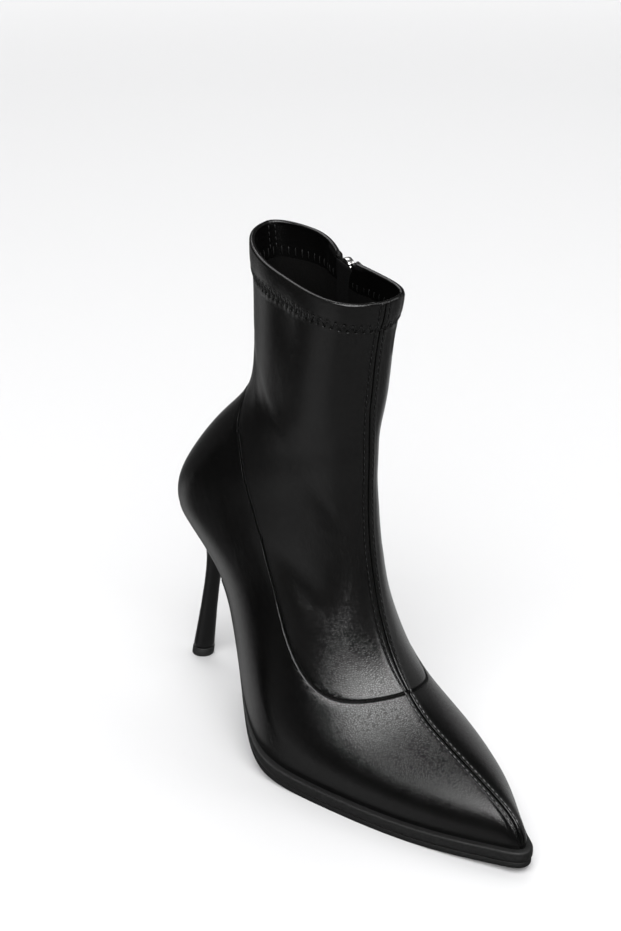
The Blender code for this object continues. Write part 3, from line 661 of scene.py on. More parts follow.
def nearest_on_line(points, line, normals):
    """Distance from each point to a polyline, and which side of it the point lies on."""
    flat = points.reshape(-1, 3)
    distance = np.empty(len(flat))
    side = np.empty(len(flat))
    tangent = np.gradient(line, axis=0)
    tangent /= np.linalg.norm(tangent, axis=1, keepdims=True)
    left = np.cross(tangent, normals)
    start, end = line[:-1], line[1:]
    run = end - start
    square = (run ** 2).sum(1)
    for first in range(0, len(flat), 4000):
        part = flat[first:first + 4000]
        nearest = ((part[:, None] - line[None]) ** 2).sum(2).argmin(1)
        best = np.full(len(part), 1e9)
        foot = np.zeros((len(part), 3))
        for shift in (-1, 0):
            k = np.clip(nearest + shift, 0, len(run) - 1)
            t = np.clip(((part - start[k]) * run[k]).sum(1) / square[k], 0, 1)
            q = start[k] + run[k] * t[:, None]
            d = np.linalg.norm(part - q, axis=1)
            better = d < best
            best = np.where(better, d, best)
            foot = np.where(better[:, None], q, foot)
        distance[first:first + 4000] = best
        side[first:first + 4000] = np.sign(((part - foot) * left[nearest]).sum(1))
    return distance.reshape(points.shape[:-1]), side.reshape(points.shape[:-1])


def spaced(count, start_dense, end_dense, width=0.12):
    """Places from 0 to 1 that lie closer together at either end."""
    x = np.linspace(0, 1, 2001)
    density = 1 + start_dense * np.exp(-x / width) + end_dense * np.exp(-(1 - x) / width)
    total = np.concatenate([[0], np.cumsum((density[1:] + density[:-1]) / 2)])
    return np.interp(np.linspace(0, 1, count), total / total[-1], x)


# Creases placed one by one: side, x, z, direction in degrees, length, width, height (below 0 a trough)
CREASES = (
    (-1, 56.0, 172.0, 122, 40, 2.0, -0.32),
    (-1, 62.0, 160.0, 126, 46, 2.1, -0.36),
    (-1, 70.0, 158.0, 127, 50, 2.2, -0.34),
    (-1, 74.0, 146.0, 128, 44, 2.0, -0.30),
    (-1, 83.0, 144.0, 128, 46, 2.4, -0.34),
    (-1, 88.0, 192.0, 104, 44, 8.0, -0.60),
    (-1, 100.0, 130.0, 130, 60, 6.0, -0.55),
    (-1, 105.0, 122.0, 134, 26, 1.9, -0.26),
    (-1, 109.0, 116.0, 138, 26, 1.9, -0.30),
    (-1, 112.0, 110.0, 142, 24, 1.9, -0.28),
    (-1, 114.0, 103.0, 146, 22, 1.9, -0.26),
    (-1, 99.0, 88.0, 146, 58, 5.5, -1.4),
    (-1, 92.5, 79.0, 146, 50, 5.5, 1.0),
    (1, 98.0, 116.0, 22, 26, 2.2, -0.28),
    (1, 102.0, 106.0, 16, 26, 2.0, -0.28),
    (1, 105.0, 96.0, 10, 22, 1.8, -0.24),
    (1, 52.0, 165.0, 84, 46, 2.6, -0.30),
)


CREASE_BOW = 0.012


def crease_height(points, around):
    """How far the creases lift or sink the skin. Each one is bowed and fades out at its ends."""
    total = np.zeros(points.shape[:-1])
    for side, x, z, turn, length, width, rise in CREASES:
        a = math.radians(turn)
        dx, dz = points[..., 0] - x, points[..., 2] - z
        along = dx * math.cos(a) + dz * math.sin(a)
        off = -dx * math.sin(a) + dz * math.cos(a)
        off = off - CREASE_BOW * along ** 2 / max(length / 20, 1)
        window = np.clip(1 - (2 * along / length) ** 2, 0, 1) ** 2
        total += rise * window * bell(off, width) * (np.sign(around) == side)
    return total


def upper_rows():
    toe = np.concatenate([[0.0], np.geomspace(0.35, 6.0, 9)])
    body = np.arange(7.0, BOOT_LENGTH - 18.5, 1.7)
    top = np.linspace(BOOT_LENGTH - 18, BOOT_LENGTH, 37)
    return station_of(np.concatenate([toe, body, top]))


# Columns of the grid beside the zip, by distance from its centre
ZIP_REACH = 13.5
ZIP_COLUMNS = np.array([
    ZIP_REACH, 12.0, 10.7, 9.6, 8.8, 8.2, 7.95, 7.7, 7.45, 7.2, 6.7, 6.2, 5.85, 5.7, 5.55, 5.4,
    ZIP_HALF, ZIP_HALF - 0.2,
])
ZIP_COLUMNS = np.concatenate([ZIP_COLUMNS, -ZIP_COLUMNS[::-1]])


def zip_columns(station):
    """Place around of the zip's columns at one station, or None below the slot."""
    dense = np.linspace(0.02, 1.98, 500)
    points = last_point(station, dense)
    across = zip_across(points)
    behind = -across.min() - 0.3
    centre_height = np.interp(0.0, across[::-1], points[::-1, 2])
    if behind <= ZIP_HALF + 2 or centre_height <= ZIP_FOOT[1] - 6:
        return None
    reach = np.where(ZIP_COLUMNS < 0, min(ZIP_REACH, behind), ZIP_REACH)
    turn = np.interp(np.maximum(ZIP_COLUMNS, -behind), across[::-1], dense[::-1])
    rise = np.clip((last_point(station, turn)[:, 2] - ZIP_FOOT[1]) / SLOT_ROUND, 0, 1)
    half = ZIP_HALF * np.sqrt(rise * (2 - rise))
    size = np.abs(ZIP_COLUMNS)
    outside = half + (size - ZIP_HALF) * (reach - half) / (ZIP_REACH - ZIP_HALF)
    pulled = np.sign(ZIP_COLUMNS) * np.where(size <= ZIP_HALF, size * half / ZIP_HALF, outside)
    return np.interp(pulled, across[::-1], dense[::-1])


def upper_columns(stations):
    """Place around of each column at each station. On the inner side, columns follow the zip's edges."""
    outer = -2 * spaced(84, 2.6, 1.2)[::-1]
    outer_block = np.repeat(outer[None, :-1], len(stations), 0)
    zip_zone = np.zeros((len(stations), len(ZIP_COLUMNS)))
    below = False
    for i in range(len(stations) - 1, -1, -1):
        found = None if below else zip_columns(stations[i])
        below = found is None
        zip_zone[i] = zip_zone[i + 1] if below else found
    front = spaced(38, 3.4, 0.0, 0.14)
    back = spaced(34, 0.0, 1.6, 0.14)
    front_block = zip_zone[:, :1] * front[None, :-1]
    back_block = zip_zone[:, -1:] + (2 - zip_zone[:, -1:]) * back[None, 1:]
    first_zip = outer_block.shape[1] + front_block.shape[1]
    return np.concatenate([outer_block, front_block, zip_zone, back_block], 1), first_zip


STATIONS = upper_rows()
AROUND, FIRST_ZIP = upper_columns(STATIONS)
SLOT_LEFT = FIRST_ZIP + len(ZIP_COLUMNS) // 2 - 1


def seam_line():
    outer_s, outer_a = panel_line(-1.0)
    inner_s, inner_a = panel_line(1.0)
    station = np.concatenate([outer_s, inner_s[::-1]])
    around = np.concatenate([outer_a, inner_a[::-1]])
    point = last_point(station, around)
    keep = np.concatenate([[True], np.linalg.norm(np.diff(point, axis=0), axis=1) > 0.05])
    return station[keep], around[keep], point[keep]


SEAM_S, SEAM_A, SEAM_P = seam_line()
SEAM_N = last_normal(SEAM_S, SEAM_A)


def panel_distance(points):
    """Distance to the lower panel's seam, above 0 on the panel."""
    distance, side = nearest_on_line(points, SEAM_P, SEAM_N)
    toe = last_point(np.array([3.0]), np.array([-1.0]))
    _, toe_side = nearest_on_line(toe, SEAM_P, SEAM_N)
    return distance * side * toe_side[0]


def hem_arc(around):
    """Length around the collar at each place, for the zigzag's pitch."""
    dense = np.linspace(-2, 2, 1201)
    ring = last_point(COLLAR - 0.7, dense)
    run = np.concatenate([[0], np.cumsum(np.linalg.norm(np.diff(ring, axis=0), axis=1))])
    return np.interp(around, dense, run)


# Where the front seam runs, as length from the toe and distance to the inner side of the ridge
FRONT_SEAM = (
    (0, -1.1), (18, -1.5), (67, -1.5), (90, -0.4), (137, -0.7), (240, -0.6), (288, -1.0),
    (336, -1.9), (361, -2.6),
)


def front_offset(length):
    table = np.array(FRONT_SEAM)
    return np.interp(length, table[:, 0], table[:, 1])


def up_from_vamp(length):
    """0 on the vamp and 1 up the shaft, by length from the toe."""
    return smooth(length, 84, 112)


def front_row(length):
    """How far the front seam's stitch rows lie from it: close on the vamp, wider up the shaft."""
    return 1.15 + 0.95 * up_from_vamp(length)


def hem_depth(around):
    return 11.2 + 3.4 * bell(around, 0.35)


def slot_distance(points, around):
    """How far points lie outside the zip's slot, which has a rounded lower end. FAR on the outer side."""
    under = np.clip(ZIP_FOOT[1] + SLOT_ROUND - points[..., 2], 0, None) * ZIP_HALF / SLOT_ROUND
    return np.where(around > 0, np.hypot(zip_across(points), under) - ZIP_HALF, FAR)


def seam_relief(front, back, length):
    """The raised seams at the ridge and at the back, each with a groove and two stitch rows."""
    row = front_row(length)
    ridge = 0.6 * np.exp(-(front / (row + 0.95)) ** 4)
    ridge -= 0.5 * bell(front, 0.42)
    ridge -= (0.10 + 0.18 * up_from_vamp(length)) * bell(front - row, 0.38)
    ridge *= smooth(length, 1.0, 9.0)
    ridge += 0.5 * np.exp(-(back / 2.6) ** 4)
    return ridge - 0.4 * bell(back, 0.45) - 0.22 * bell(back - BACK_ROW, 0.38)


def hem_relief(below, arc, depth):
    """The folded hem: its step, its bulge, and the waves and dents that its zigzag draws in."""
    wave = np.cos(2 * np.pi * arc / HEM_PITCH)
    height = HEM_STEP * smooth(below, 0.5, -0.9)
    height += 0.30 * np.sin(np.pi * np.clip(1 + below / depth, 0, 1))
    height -= 0.30 * bell(below + 1.0, 2.0)
    height += 0.12 * wave * bell(below - 0.6, 2.2)
    return height - 0.14 * np.clip(wave, 0, 1) * bell(below + 3.0, 1.4)


def slot_relief(slot):
    """The slot's edge: a low lip, a stitch row beside it and a rounded corner."""
    corner = 0.4
    lip = 0.30 * np.exp(-(slot / 1.9) ** 2) * (slot >= -0.01)
    lip -= 0.25 * bell(slot + ZIP_HALF - ZIP_STITCH, 0.4)
    bend = np.clip((corner - slot) / corner, 0, 1)
    return lip - corner * (1 - np.sqrt(1 - bend ** 2))


def skin_height(stations, around, points, seam):
    """How far the skin stands off the last, and the distances that the leather's material reads."""
    length = length_of(stations)
    ridge_point = last_point(stations, np.zeros_like(around))
    from_ridge = np.sign(around) * np.linalg.norm(points - ridge_point, axis=-1)
    front = np.abs(from_ridge - front_offset(length))
    back = np.linalg.norm(points - last_point(stations, np.full_like(around, 2.0)), axis=-1)
    back = np.where(stations >= HEEL_END, back, FAR)
    below = BOOT_LENGTH - length - hem_depth(around)
    slot = slot_distance(points, around)
    arc = hem_arc(around)

    height = PANEL_STEP * smooth(seam, -0.3, 3.4) - 0.25 * bell(seam, 0.45)
    height += seam_relief(front, back, length)
    height += hem_relief(below, arc, hem_depth(around))
    height += slot_relief(slot)
    height = np.where(slot < -0.1, -WALL - 0.1, height)
    height += crease_height(points, around)

    rows = np.minimum(np.abs(front - front_row(length)), np.abs(back - BACK_ROW))
    rows = np.minimum(rows, np.abs(slot + ZIP_HALF - ZIP_STITCH))
    seams = np.minimum(front, back)
    return height, {"seam": seam, "front": seams, "row": rows, "hem": below, "arc": arc}


def gape(points, around):
    """The collar's two ends at the zip spread apart and droop a little."""
    across = zip_across(points)
    ahead = smooth(across, -ZIP_HALF, ZIP_HALF)
    share = smooth(points[..., 2], COLLAR_HEIGHT - 18, COLLAR_HEIGHT - 1)
    share = share * bell(across, 11.0) * (around > 0)
    moved = points.copy()
    moved[..., 0] += (3.4 * ahead - 1.0) * share
    moved[..., 2] -= (3.2 - 1.8 * ahead) * share
    return moved


def inside_depth(points, around):
    """How deep the turned-in hem lies inside the last's surface. It covers the zip tape's edges."""
    return WALL - 0.1 + 1.1 * smooth(np.abs(zip_across(points)), 15.0, 12.4) * (around > 0)


# The collar's rolled edge, from the outside to the inside: how far up and how far in
ROLL_RISE = np.array([0.0, 0.35, 0.62, 0.72, 0.62, 0.35, 0.0])
ROLL_INWARD = np.array([0.0, 0.15, 0.55, 1.1, 1.65, 2.05, 2.2])
INSIDE = -1


def skin_grid():
    """Station, place around, kind and skirt of each point of the skin's grid, and its faces.

    kind is 0 on the outside, counts up over the collar's rolled edge, and is INSIDE on the
    turned-in hem. skirt is 1 at the bottom edge."""
    extra = len(ROLL_RISE) - 1
    top = len(STATIONS) - 1
    inner_rows = np.arange(top - 1, top - 29, -2)
    rows = np.concatenate([np.arange(top + 1), np.full(extra, top), inner_rows])
    kind = [np.zeros(top + 1), np.arange(1, extra + 1), np.full(len(inner_rows), INSIDE)]
    around = AROUND[rows]
    around = np.concatenate([around[:, :1], around, around[:, -1:]], 1)
    wide = around.shape[1]
    skirt = np.zeros(around.shape)
    skirt[:, 0] = skirt[:, -1] = 1
    station = np.repeat(STATIONS[rows][:, None], wide, 1)
    kind = np.repeat(np.concatenate(kind)[:, None], wide, 1)
    faces = grid_faces(len(rows), wide)
    height = last_point(STATIONS[rows], AROUND[rows, SLOT_LEFT])[:, 2]
    in_slot = np.arange(len(faces)) % (wide - 1) == SLOT_LEFT + 1
    in_slot &= height[np.arange(len(faces)) // (wide - 1)] > ZIP_FOOT[1] + 0.5
    return station.ravel(), around.ravel(), kind.ravel(), skirt.ravel(), faces[~in_slot]


def refined(values, faces, near):
    """Cuts the edges near a seam in three. values are kept as point layers."""
    work = bmesh.new()
    layers = {name: work.verts.layers.float.new(name) for name in values}
    table = np.stack(list(values.values()), 1)
    verts = []
    for row in table:
        vert = work.verts.new((0, 0, 0))
        for layer, value in zip(layers.values(), row):
            vert[layer] = value
        verts.append(vert)
    for face in faces:
        work.faces.new([verts[i] for i in face])
    work.verts.index_update()
    edges = [e for e in work.edges if near[e.verts[0].index] and near[e.verts[1].index]]
    bmesh.ops.subdivide_edges(work, edges=edges, cuts=2, use_grid_fill=True)
    work.verts.index_update()
    new_values = {name: np.array([v[layer] for v in work.verts]) for name, layer in layers.items()}
    new_faces = [[v.index for v in f.verts] for f in work.faces]
    work.free()
    return new_values, new_faces


def upper_skin():
    station, around, kind, skirt, faces = skin_grid()
    base = last_point(station, around)
    marks = skin_height(station, around, base, panel_distance(base))[1]
    near = (np.abs(marks["seam"]) < 1.8) | (marks["front"] < 2.7)
    values = {"station": station, "around": around, "kind": kind, "skirt": skirt}
    values, faces = refined(values, faces, near & (kind == 0) & (skirt == 0))
    station, around, kind, skirt = (values[name] for name in ("station", "around", "kind", "skirt"))
    base = last_point(station, around)
    normal = last_normal(station, around)
    height, marks = skin_height(station, around, base, panel_distance(base))
    # The collar's edge rolls over inward, and the turned-in hem goes down inside.
    inside = kind == INSIDE
    height = np.where(inside, -inside_depth(base, around), height)
    skin = base + normal * height[:, None]
    turn = np.clip(kind, 0, None)
    rim = np.full(len(around), float(COLLAR))
    up = last_point(rim, around) - last_point(rim - 0.05, around)
    up /= np.linalg.norm(up, axis=1, keepdims=True)
    steps = np.arange(len(ROLL_RISE))
    skin += up * np.interp(turn, steps, ROLL_RISE)[:, None]
    skin -= normal * np.interp(turn, steps, ROLL_INWARD)[:, None]
    # The bottom edge goes on down behind the sole's rim.
    tuck = (skirt > 0.5) & (station < HEEL_END)
    skin[:, 1] += tuck * np.where(around < 0, 0.5, -0.5)
    skin[:, 2] -= tuck * 1.1
    obj = add_mesh("upper_skin", gape(skin, around), faces, LEATHER)
    hidden = np.where(inside | (kind > 2), FAR, 0.0)
    for name, distance in marks.items():
        set_attribute(obj, name, distance + hidden)
    weld(obj)
    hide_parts("upper")


def upper_lining():
    """The lining: it ends under the turned-in hem, and covers the zip tape's edges."""
    stations = np.repeat(STATIONS[:, None], AROUND.shape[1], 1)
    base = last_point(stations, AROUND)
    normal = last_normal(stations, AROUND)
    top = np.searchsorted(STATIONS, station_of(BOOT_LENGTH - LINING_TOP))
    rows = np.concatenate([np.arange(2, top, 3), [top]])
    last = AROUND.shape[1] - 1
    columns = np.unique(np.concatenate([np.arange(0, last, 2), [SLOT_LEFT, SLOT_LEFT + 1, last]]))
    across = np.abs(zip_across(base))
    cover = smooth(across, 15.5, 12.8) * (AROUND > 0) * (base[..., 2] > ZIP_FOOT[1])
    inner = base - normal * (WALL + 0.05 + 1.0 * cover)[..., None]
    inner = gape(inner, AROUND)[np.ix_(rows, columns)]
    faces = grid_faces(len(rows), len(columns))
    column_of = np.arange(len(faces)) % (len(columns) - 1)
    row_of = np.arange(len(faces)) // (len(columns) - 1)
    slot = int(np.nonzero(columns == SLOT_LEFT)[0][0])
    drop = (column_of == slot) & (inner[row_of, slot][:, 2] > ZIP_FOOT[1] + 0.5)
    obj = add_mesh("upper_lining", inner.reshape(-1, 3), faces[~drop][:, ::-1].tolist(), LINING)
    weld(obj)


# Threads

# A stitch's shape: share of its length, thickness there and height over the surface
STITCH_SHAPE = ((0.0, 0.35, -0.7), (0.12, 0.85, 0.25), (0.35, 1.0, 1.0),
                (0.65, 1.0, 1.0), (0.88, 0.85, 0.25), (1.0, 0.35, -0.7))
STITCH_SIDES = 6


def threads(name, rows, radius, lift, material=THREAD):
    """Short arched stitches. Each row holds their starts, their ends and the way off the surface."""
    starts, ends, outs = (np.concatenate([row[k] for row in rows]) for k in range(3))
    run = ends - starts
    along = run / np.linalg.norm(run, axis=1, keepdims=True)
    across = np.cross(along, outs)
    across /= np.linalg.norm(across, axis=1, keepdims=True)
    points = []
    for share, size, height in STITCH_SHAPE:
        centre = starts + run * share + outs * (lift * height)
        for a in np.linspace(0, 2 * math.pi, STITCH_SIDES, endpoint=False):
            points.append(centre + (across * math.cos(a) + outs * math.sin(a)) * (radius * size))
    points = np.stack(points, 1)
    per = points.shape[1]
    sides = range(STITCH_SIDES)
    faces = []
    for first in range(0, len(starts) * per, per):
        for ring in range(first, first + per - STITCH_SIDES, STITCH_SIDES):
            for j in sides:
                k = (j + 1) % STITCH_SIDES
                faces.append((ring + j, ring + k, ring + STITCH_SIDES + k, ring + STITCH_SIDES + j))
        faces.append(tuple(first + j for j in sides)[::-1])
        faces.append(tuple(first + per - STITCH_SIDES + j for j in sides))
    obj = add_mesh(name, points.reshape(-1, 3), faces, material)
    return obj


def on_skin(stations, around):
    """Points and normals of the skin itself."""
    points = last_point(stations, around)
    seam = panel_distance(points)
    height = skin_height(stations, around, points, seam)[0]
    normal = last_normal(stations, around)
    return gape(points + normal * height[..., None], around), normal


def stitched_line(points, normals, stitch, gap):
    """Stitches along a line of surface points: starts, ends and outward directions."""
    run = np.concatenate([[0], np.cumsum(np.linalg.norm(np.diff(points, axis=0), axis=1))])
    count = int(run[-1] // (stitch + gap))
    first = np.arange(count) * (stitch + gap) + gap / 2

    def at(length, values):
        return np.stack([np.interp(length, run, values[:, k]) for k in range(3)], -1)

    out = at(first + stitch / 2, normals)
    out /= np.linalg.norm(out, axis=1, keepdims=True)
    return at(first, points), at(first + stitch, points), out


def beside_ridge(stations, ridge_turn, distances):
    """Place around of the points at a distance from the front ridge or the back one.

    A distance below 0 is on the outer side."""
    near = np.linspace(0, 0.6, 300)
    found = np.empty(len(stations))
    for i, (s, distance) in enumerate(zip(stations, distances)):
        side = 1.0 if distance >= 0 else -1.0
        places = side * near if ridge_turn == 0 else side * (2 - near)
        points = last_point(s, places)
        found[i] = np.interp(abs(distance), np.linalg.norm(points - points[0], axis=1), places)
    return found


def front_rows(first, last):
    """Points and normals of the front seam's two stitch rows, between two lengths from the toe."""
    lengths = np.arange(first, last, 1.0)
    stations = station_of(lengths)
    for side in (-1.0, 1.0):
        distances = front_offset(lengths) + side * front_row(lengths)
        yield on_skin(stations, beside_ridge(stations, 0, distances))


def vamp_threads():
    rows = [stitched_line(*line, *VAMP_STITCH) for line in front_rows(7.0, PANEL_LENGTH)]
    # The vamp's stitches use the paler thread: a painted glint
    threads("vamp_stitches", rows, 0.26, 0.24, PAINTED_GLINT_THREAD)


def seam_threads():
    """The rows up the shaft's front, down its back and round the zip."""
    lines = list(front_rows(PANEL_LENGTH + 1.0, BOOT_LENGTH - 0.5))
    back = station_of(np.arange(length_of(HEEL_END) + 6, BOOT_LENGTH - 0.5, 1.0))
    for side in (-1.0, 1.0):
        lines.append(on_skin(back, beside_ridge(back, 2, np.full(len(back), side * BACK_ROW))))
    foot = ZIP_FOOT[1] + SLOT_ROUND
    z = np.arange(foot, COLLAR_HEIGHT - 5.5, 1.0)
    for offset in (-ZIP_STITCH, ZIP_STITCH):
        lines.append(on_skin(*beside_zip(z, offset)))
    turn = np.linspace(0, math.pi, 30)
    z = foot - ZIP_STITCH * np.sin(turn)
    lines.append(on_skin(*find_on_side(zip_line(z) + ZIP_STITCH * np.cos(turn), z, 1)))
    threads("seam_stitches", [stitched_line(*line, *SHAFT_STITCH) for line in lines], 0.24, 0.2)


def panel_threads():
    """Small stitches in the lower panel's seam. They stop at the zip."""
    row = stitched_line(*on_skin(SEAM_S, SEAM_A), *PANEL_STITCH)
    clear = (row[0][:, 1] < 0) | (np.abs(zip_across(row[0])) > 7)
    # These stitches sit in the seam's groove and use the darker thread: painted shade
    threads("panel_stitches", [[part[clear] for part in row]], 0.15, 0.12, PAINTED_SHADE_THREAD)


def on_inside(depth, around):
    """Points and normals of the turned-in hem, at a depth below the collar's edge."""
    stations = station_of(BOOT_LENGTH - depth)
    normal = last_normal(stations, around)
    points = last_point(stations, around)
    return gape(points - normal * inside_depth(points, around)[:, None], around), -normal


def hem_threads():
    """The zigzag round the hem, its ticks on the inside, and the back seam's rows there."""
    dense = np.linspace(-1.995, 1.995, 3000)
    arc = hem_arc(dense)
    count = int(arc[-1] // (HEM_PITCH / 2))
    place = np.interp(np.arange(count) * HEM_PITCH / 2, arc, dense)
    under = np.where(np.arange(count) % 2 == 0, ZIGZAG_LOW, ZIGZAG_HIGH)
    points, normals = on_skin(station_of(BOOT_LENGTH - hem_depth(place) - under), place)
    clear = np.where(place > 0, np.abs(zip_across(points)), FAR) > 6.5
    keep = clear[:-1] & clear[1:]
    out = normals[:-1] + normals[1:]
    out /= np.linalg.norm(out, axis=1, keepdims=True)
    rows = [(points[:-1][keep], points[1:][keep], out[keep])]
    ticks = place[::2][clear[::2]]
    low, out_low = on_inside(np.full(len(ticks), HEM_TICKS[0]), ticks)
    high, _ = on_inside(np.full(len(ticks), HEM_TICKS[1]), ticks)
    rows.append((low, high, out_low))
    depths = np.arange(0.6, 12.6, 1.0)
    stations = station_of(BOOT_LENGTH - depths)
    for side in (-1.0, 1.0):
        around = beside_ridge(stations, 2, np.full(len(stations), side * 1.9))
        rows.append(stitched_line(*on_inside(depths, around), *INSIDE_STITCH))
    threads("hem_stitches", rows, 0.2, 0.16)


# The sole, the heel and the insole

def seat_height(points):
    dense = np.linspace(HEEL_END, 0, 600)
    outer = last_point(dense, -2.0)
    inner = last_point(dense, 2.0)
    at = points[..., 0]
    y_outer, z_outer = (np.interp(at, outer[:, 0], outer[:, k]) for k in (1, 2))
    y_inner, z_inner = (np.interp(at, inner[:, 0], inner[:, k]) for k in (1, 2))
    share = (points[..., 1] - y_outer) / np.maximum(y_inner - y_outer, 4.0)
    return z_outer + (z_inner - z_outer) * share


def fade(stations, first, last):
    return 1 - smooth(stations, NAMES.index(first), NAMES.index(last))


def edge_and_normal(stations, side):
    edge = last_point(stations, 2.0 * side)
    back = last_point(stations + 0.01, 2.0 * side)
    run = (back - edge)[:, :2]
    normal = np.stack([-run[:, 1], run[:, 0]], -1) * -side
    normal[stations == 0] = (1.0, 0.0)
    return edge, normal / np.linalg.norm(normal, axis=1, keepdims=True)


def edge_layer(name, stations, profile, material, floor=None):
    """A layer under the last.

    profile gives, for each station, rows of how far out and how far below the seat."""
    halves = []
    for side in (-1.0, 1.0):
        edge, normal = edge_and_normal(stations, side)
        half = []
        for out, drop in profile:
            point = edge.copy()
            point[:, :2] += normal * out[:, None]
            point[:, 2] = seat_height(point) - drop
            if floor is not None:
                point[:, 2] = np.maximum(point[:, 2], floor)
            half.append(point)
        halves.append(np.stack(half, 1))
    share = np.linspace(0, 1, 9)[1:-1, None]
    rings = []
    for outer, inner in zip(*halves):
        top = outer[0] + (inner[0] - outer[0]) * share
        low = inner[-1] + (outer[-1] - inner[-1]) * share
        rings.append(np.concatenate([outer[::-1], top, inner, low]))
    return lofted(name, rings, material, cap_first=False)


def sole_stations(high):
    near = np.array([0.0, 0.04, 0.09, 0.15, 0.22, 0.3, 0.4, 0.5, 0.62, 0.75, 0.88])
    return np.concatenate([near, np.arange(1.0, high, 0.12), [high]])


def midsole():
    stations = sole_stations(NAMES.index("waist") + 0.5)
    full = fade(stations, "ball back", "waist")
    out = 0.2 + (LEDGE - 0.2) * full
    thick = WAIST_THICK + (MIDSOLE_THICK - WAIST_THICK) * full
    round_top = np.minimum(0.9, 0.4 * thick)
    profile = [(out - 2.6, np.full(len(stations), GAP))]
    for turn in np.linspace(0, 90, 5):
        a = math.radians(turn)
        profile.append((out - round_top * (1 - math.sin(a)), GAP + round_top * (1 - math.cos(a))))
    profile.append((out + 0.12 * full, GAP + thick * 0.55))
    profile.append((out, GAP + thick * 0.86))
    profile.append((out - 0.25, GAP + thick * 0.97))
    profile.append((out - 0.6, GAP + thick))
    obj = edge_layer("midsole_rim", stations, profile, RUBBER)
    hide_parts("midsole")


def station_of_x(x):
    low, high = np.array(float(NAMES.index("waist"))), np.array(float(HEEL_END))
    return float(bisect(low, high, lambda s: column("low_x", s) < x))


def outsole():
    stations = sole_stations(station_of_x(HEEL_BREAST + GAP))
    full = fade(stations, "ball back", "waist")
    waist = NAMES.index("waist")
    under = (WAIST_THICK + GAP) * (1 - smooth(stations, waist + 0.4, waist + 0.9))
    drop = GAP + under + (MIDSOLE_THICK - WAIST_THICK) * full
    out = (LEDGE - OUTSOLE_INSET) * full
    low = drop + OUTSOLE_THICK
    profile = [
        (out - 0.9, drop), (out - 0.25, drop + 0.05), (out, drop + 0.3),
        (out + 0.05, drop + OUTSOLE_THICK * 0.5),
        (out, low - 0.4), (out - 0.25, low - 0.1), (out - 0.8, low),
    ]
    obj = edge_layer("tread_layer", stations, profile, TREAD, floor=0.0)
    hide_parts("outsole")


def insole():
    stations = np.concatenate([np.arange(2.5, HEEL_END - 0.35, 0.15), [HEEL_END - 0.3]])
    out = np.full(len(stations), -(WALL + 4 * GAP))
    top = np.full(len(stations), -(INSOLE_THICK + GAP))
    low = top + INSOLE_THICK
    profile = [
        (out - 0.7, top), (out - 0.2, top + 0.15), (out, top + 0.6), (out, low - 0.3), (out - 0.3, low),
    ]
    obj = edge_layer("insole_board", stations, profile, LINING)
    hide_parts("insole")


# The heel's stem: height and width
STEM = ((50.0, 7.8), (44.0, 7.0), (36.0, 6.9), (24.0, 7.5), (12.0, 8.6), (LIFT_HEIGHT + GAP, 9.4))


def stem_circle(z, wide, turn):
    """Points round the leaning stem at a height."""
    x = STEM_LEAN[0] * z + wide / 2 * np.cos(turn)
    y = STEM_LEAN[1] * z + wide / 2 * np.sin(turn)
    return np.stack([x, y, np.full(len(turn), z)], -1)


def heel():
    stations = np.linspace(station_of_x(HEEL_BREAST), HEEL_END, 34)
    lateral = last_point(stations, -2.0)
    medial = last_point(stations, 2.0)[::-1]
    front = medial[-1] + (lateral[0] - medial[-1]) * np.linspace(0, 1, 20)[1:-1, None]
    ring = np.concatenate([lateral, medial[1:], front])
    ring[:, 2] -= GAP + PANEL_STEP
    middle = ring.mean(axis=0)
    turn = np.unwrap(np.arctan2(ring[:, 1] - middle[1], ring[:, 0] - middle[0]))
    target = stem_circle(*STEM[0], turn)
    lip = ring.copy()
    lip[:, 2] -= 1.2
    inner = middle + (ring - middle) * 0.96
    inner[:, 2] = ring[:, 2] + 0.25
    rings = [inner, ring, ring + (lip - ring) * 0.5, lip]
    for q in np.linspace(0, 1, 26)[1:]:
        draw_in = 1 - (1 - q) ** 2.4
        level = lip.copy()
        level[:, :2] += (target - lip)[:, :2] * draw_in
        level[:, 2] += (target - lip)[:, 2] * q
        rings.append(level)
    heights = np.array([row[0] for row in STEM])[::-1]
    widths = np.array([row[1] for row in STEM])[::-1]
    for z in np.linspace(STEM[0][0], heights[0], 24)[1:]:
        rings.append(stem_circle(z, np.interp(z, heights, widths), turn))
    obj = lofted("heel_stem", rings, HEEL_WRAP)
    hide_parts("heel")


def heel_lift():
    levels = (
        (0.0, 9.0), (0.15, 9.5), (0.5, 9.75), (1.5, LIFT_DIAMETER), (3.3, LIFT_DIAMETER), (3.45, 9.55),
        (3.6, 9.55), (3.75, LIFT_DIAMETER - 0.05), (LIFT_HEIGHT, LIFT_DIAMETER - 0.2),
    )
    turn = np.linspace(0, 2 * math.pi, 56, endpoint=False)
    rings = [stem_circle(z, wide, turn) for z, wide in levels]
    obj = lofted("heel_tip", rings, LIFT)
    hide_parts("heel_lift")


# The zip

def zip_surface(z, offset):
    """Points and normals of the last beside the zip's centre, carried on straight up at the collar."""
    cap = COLLAR_HEIGHT - ZIP_CAP
    x = zip_line(z) + offset * zip_stretch(z)
    station, around = find_on_side(x, np.minimum(z, cap), 1)
    point = last_point(station, around)
    point[..., 2] += np.maximum(z - cap, 0)
    return point, last_normal(station, around)


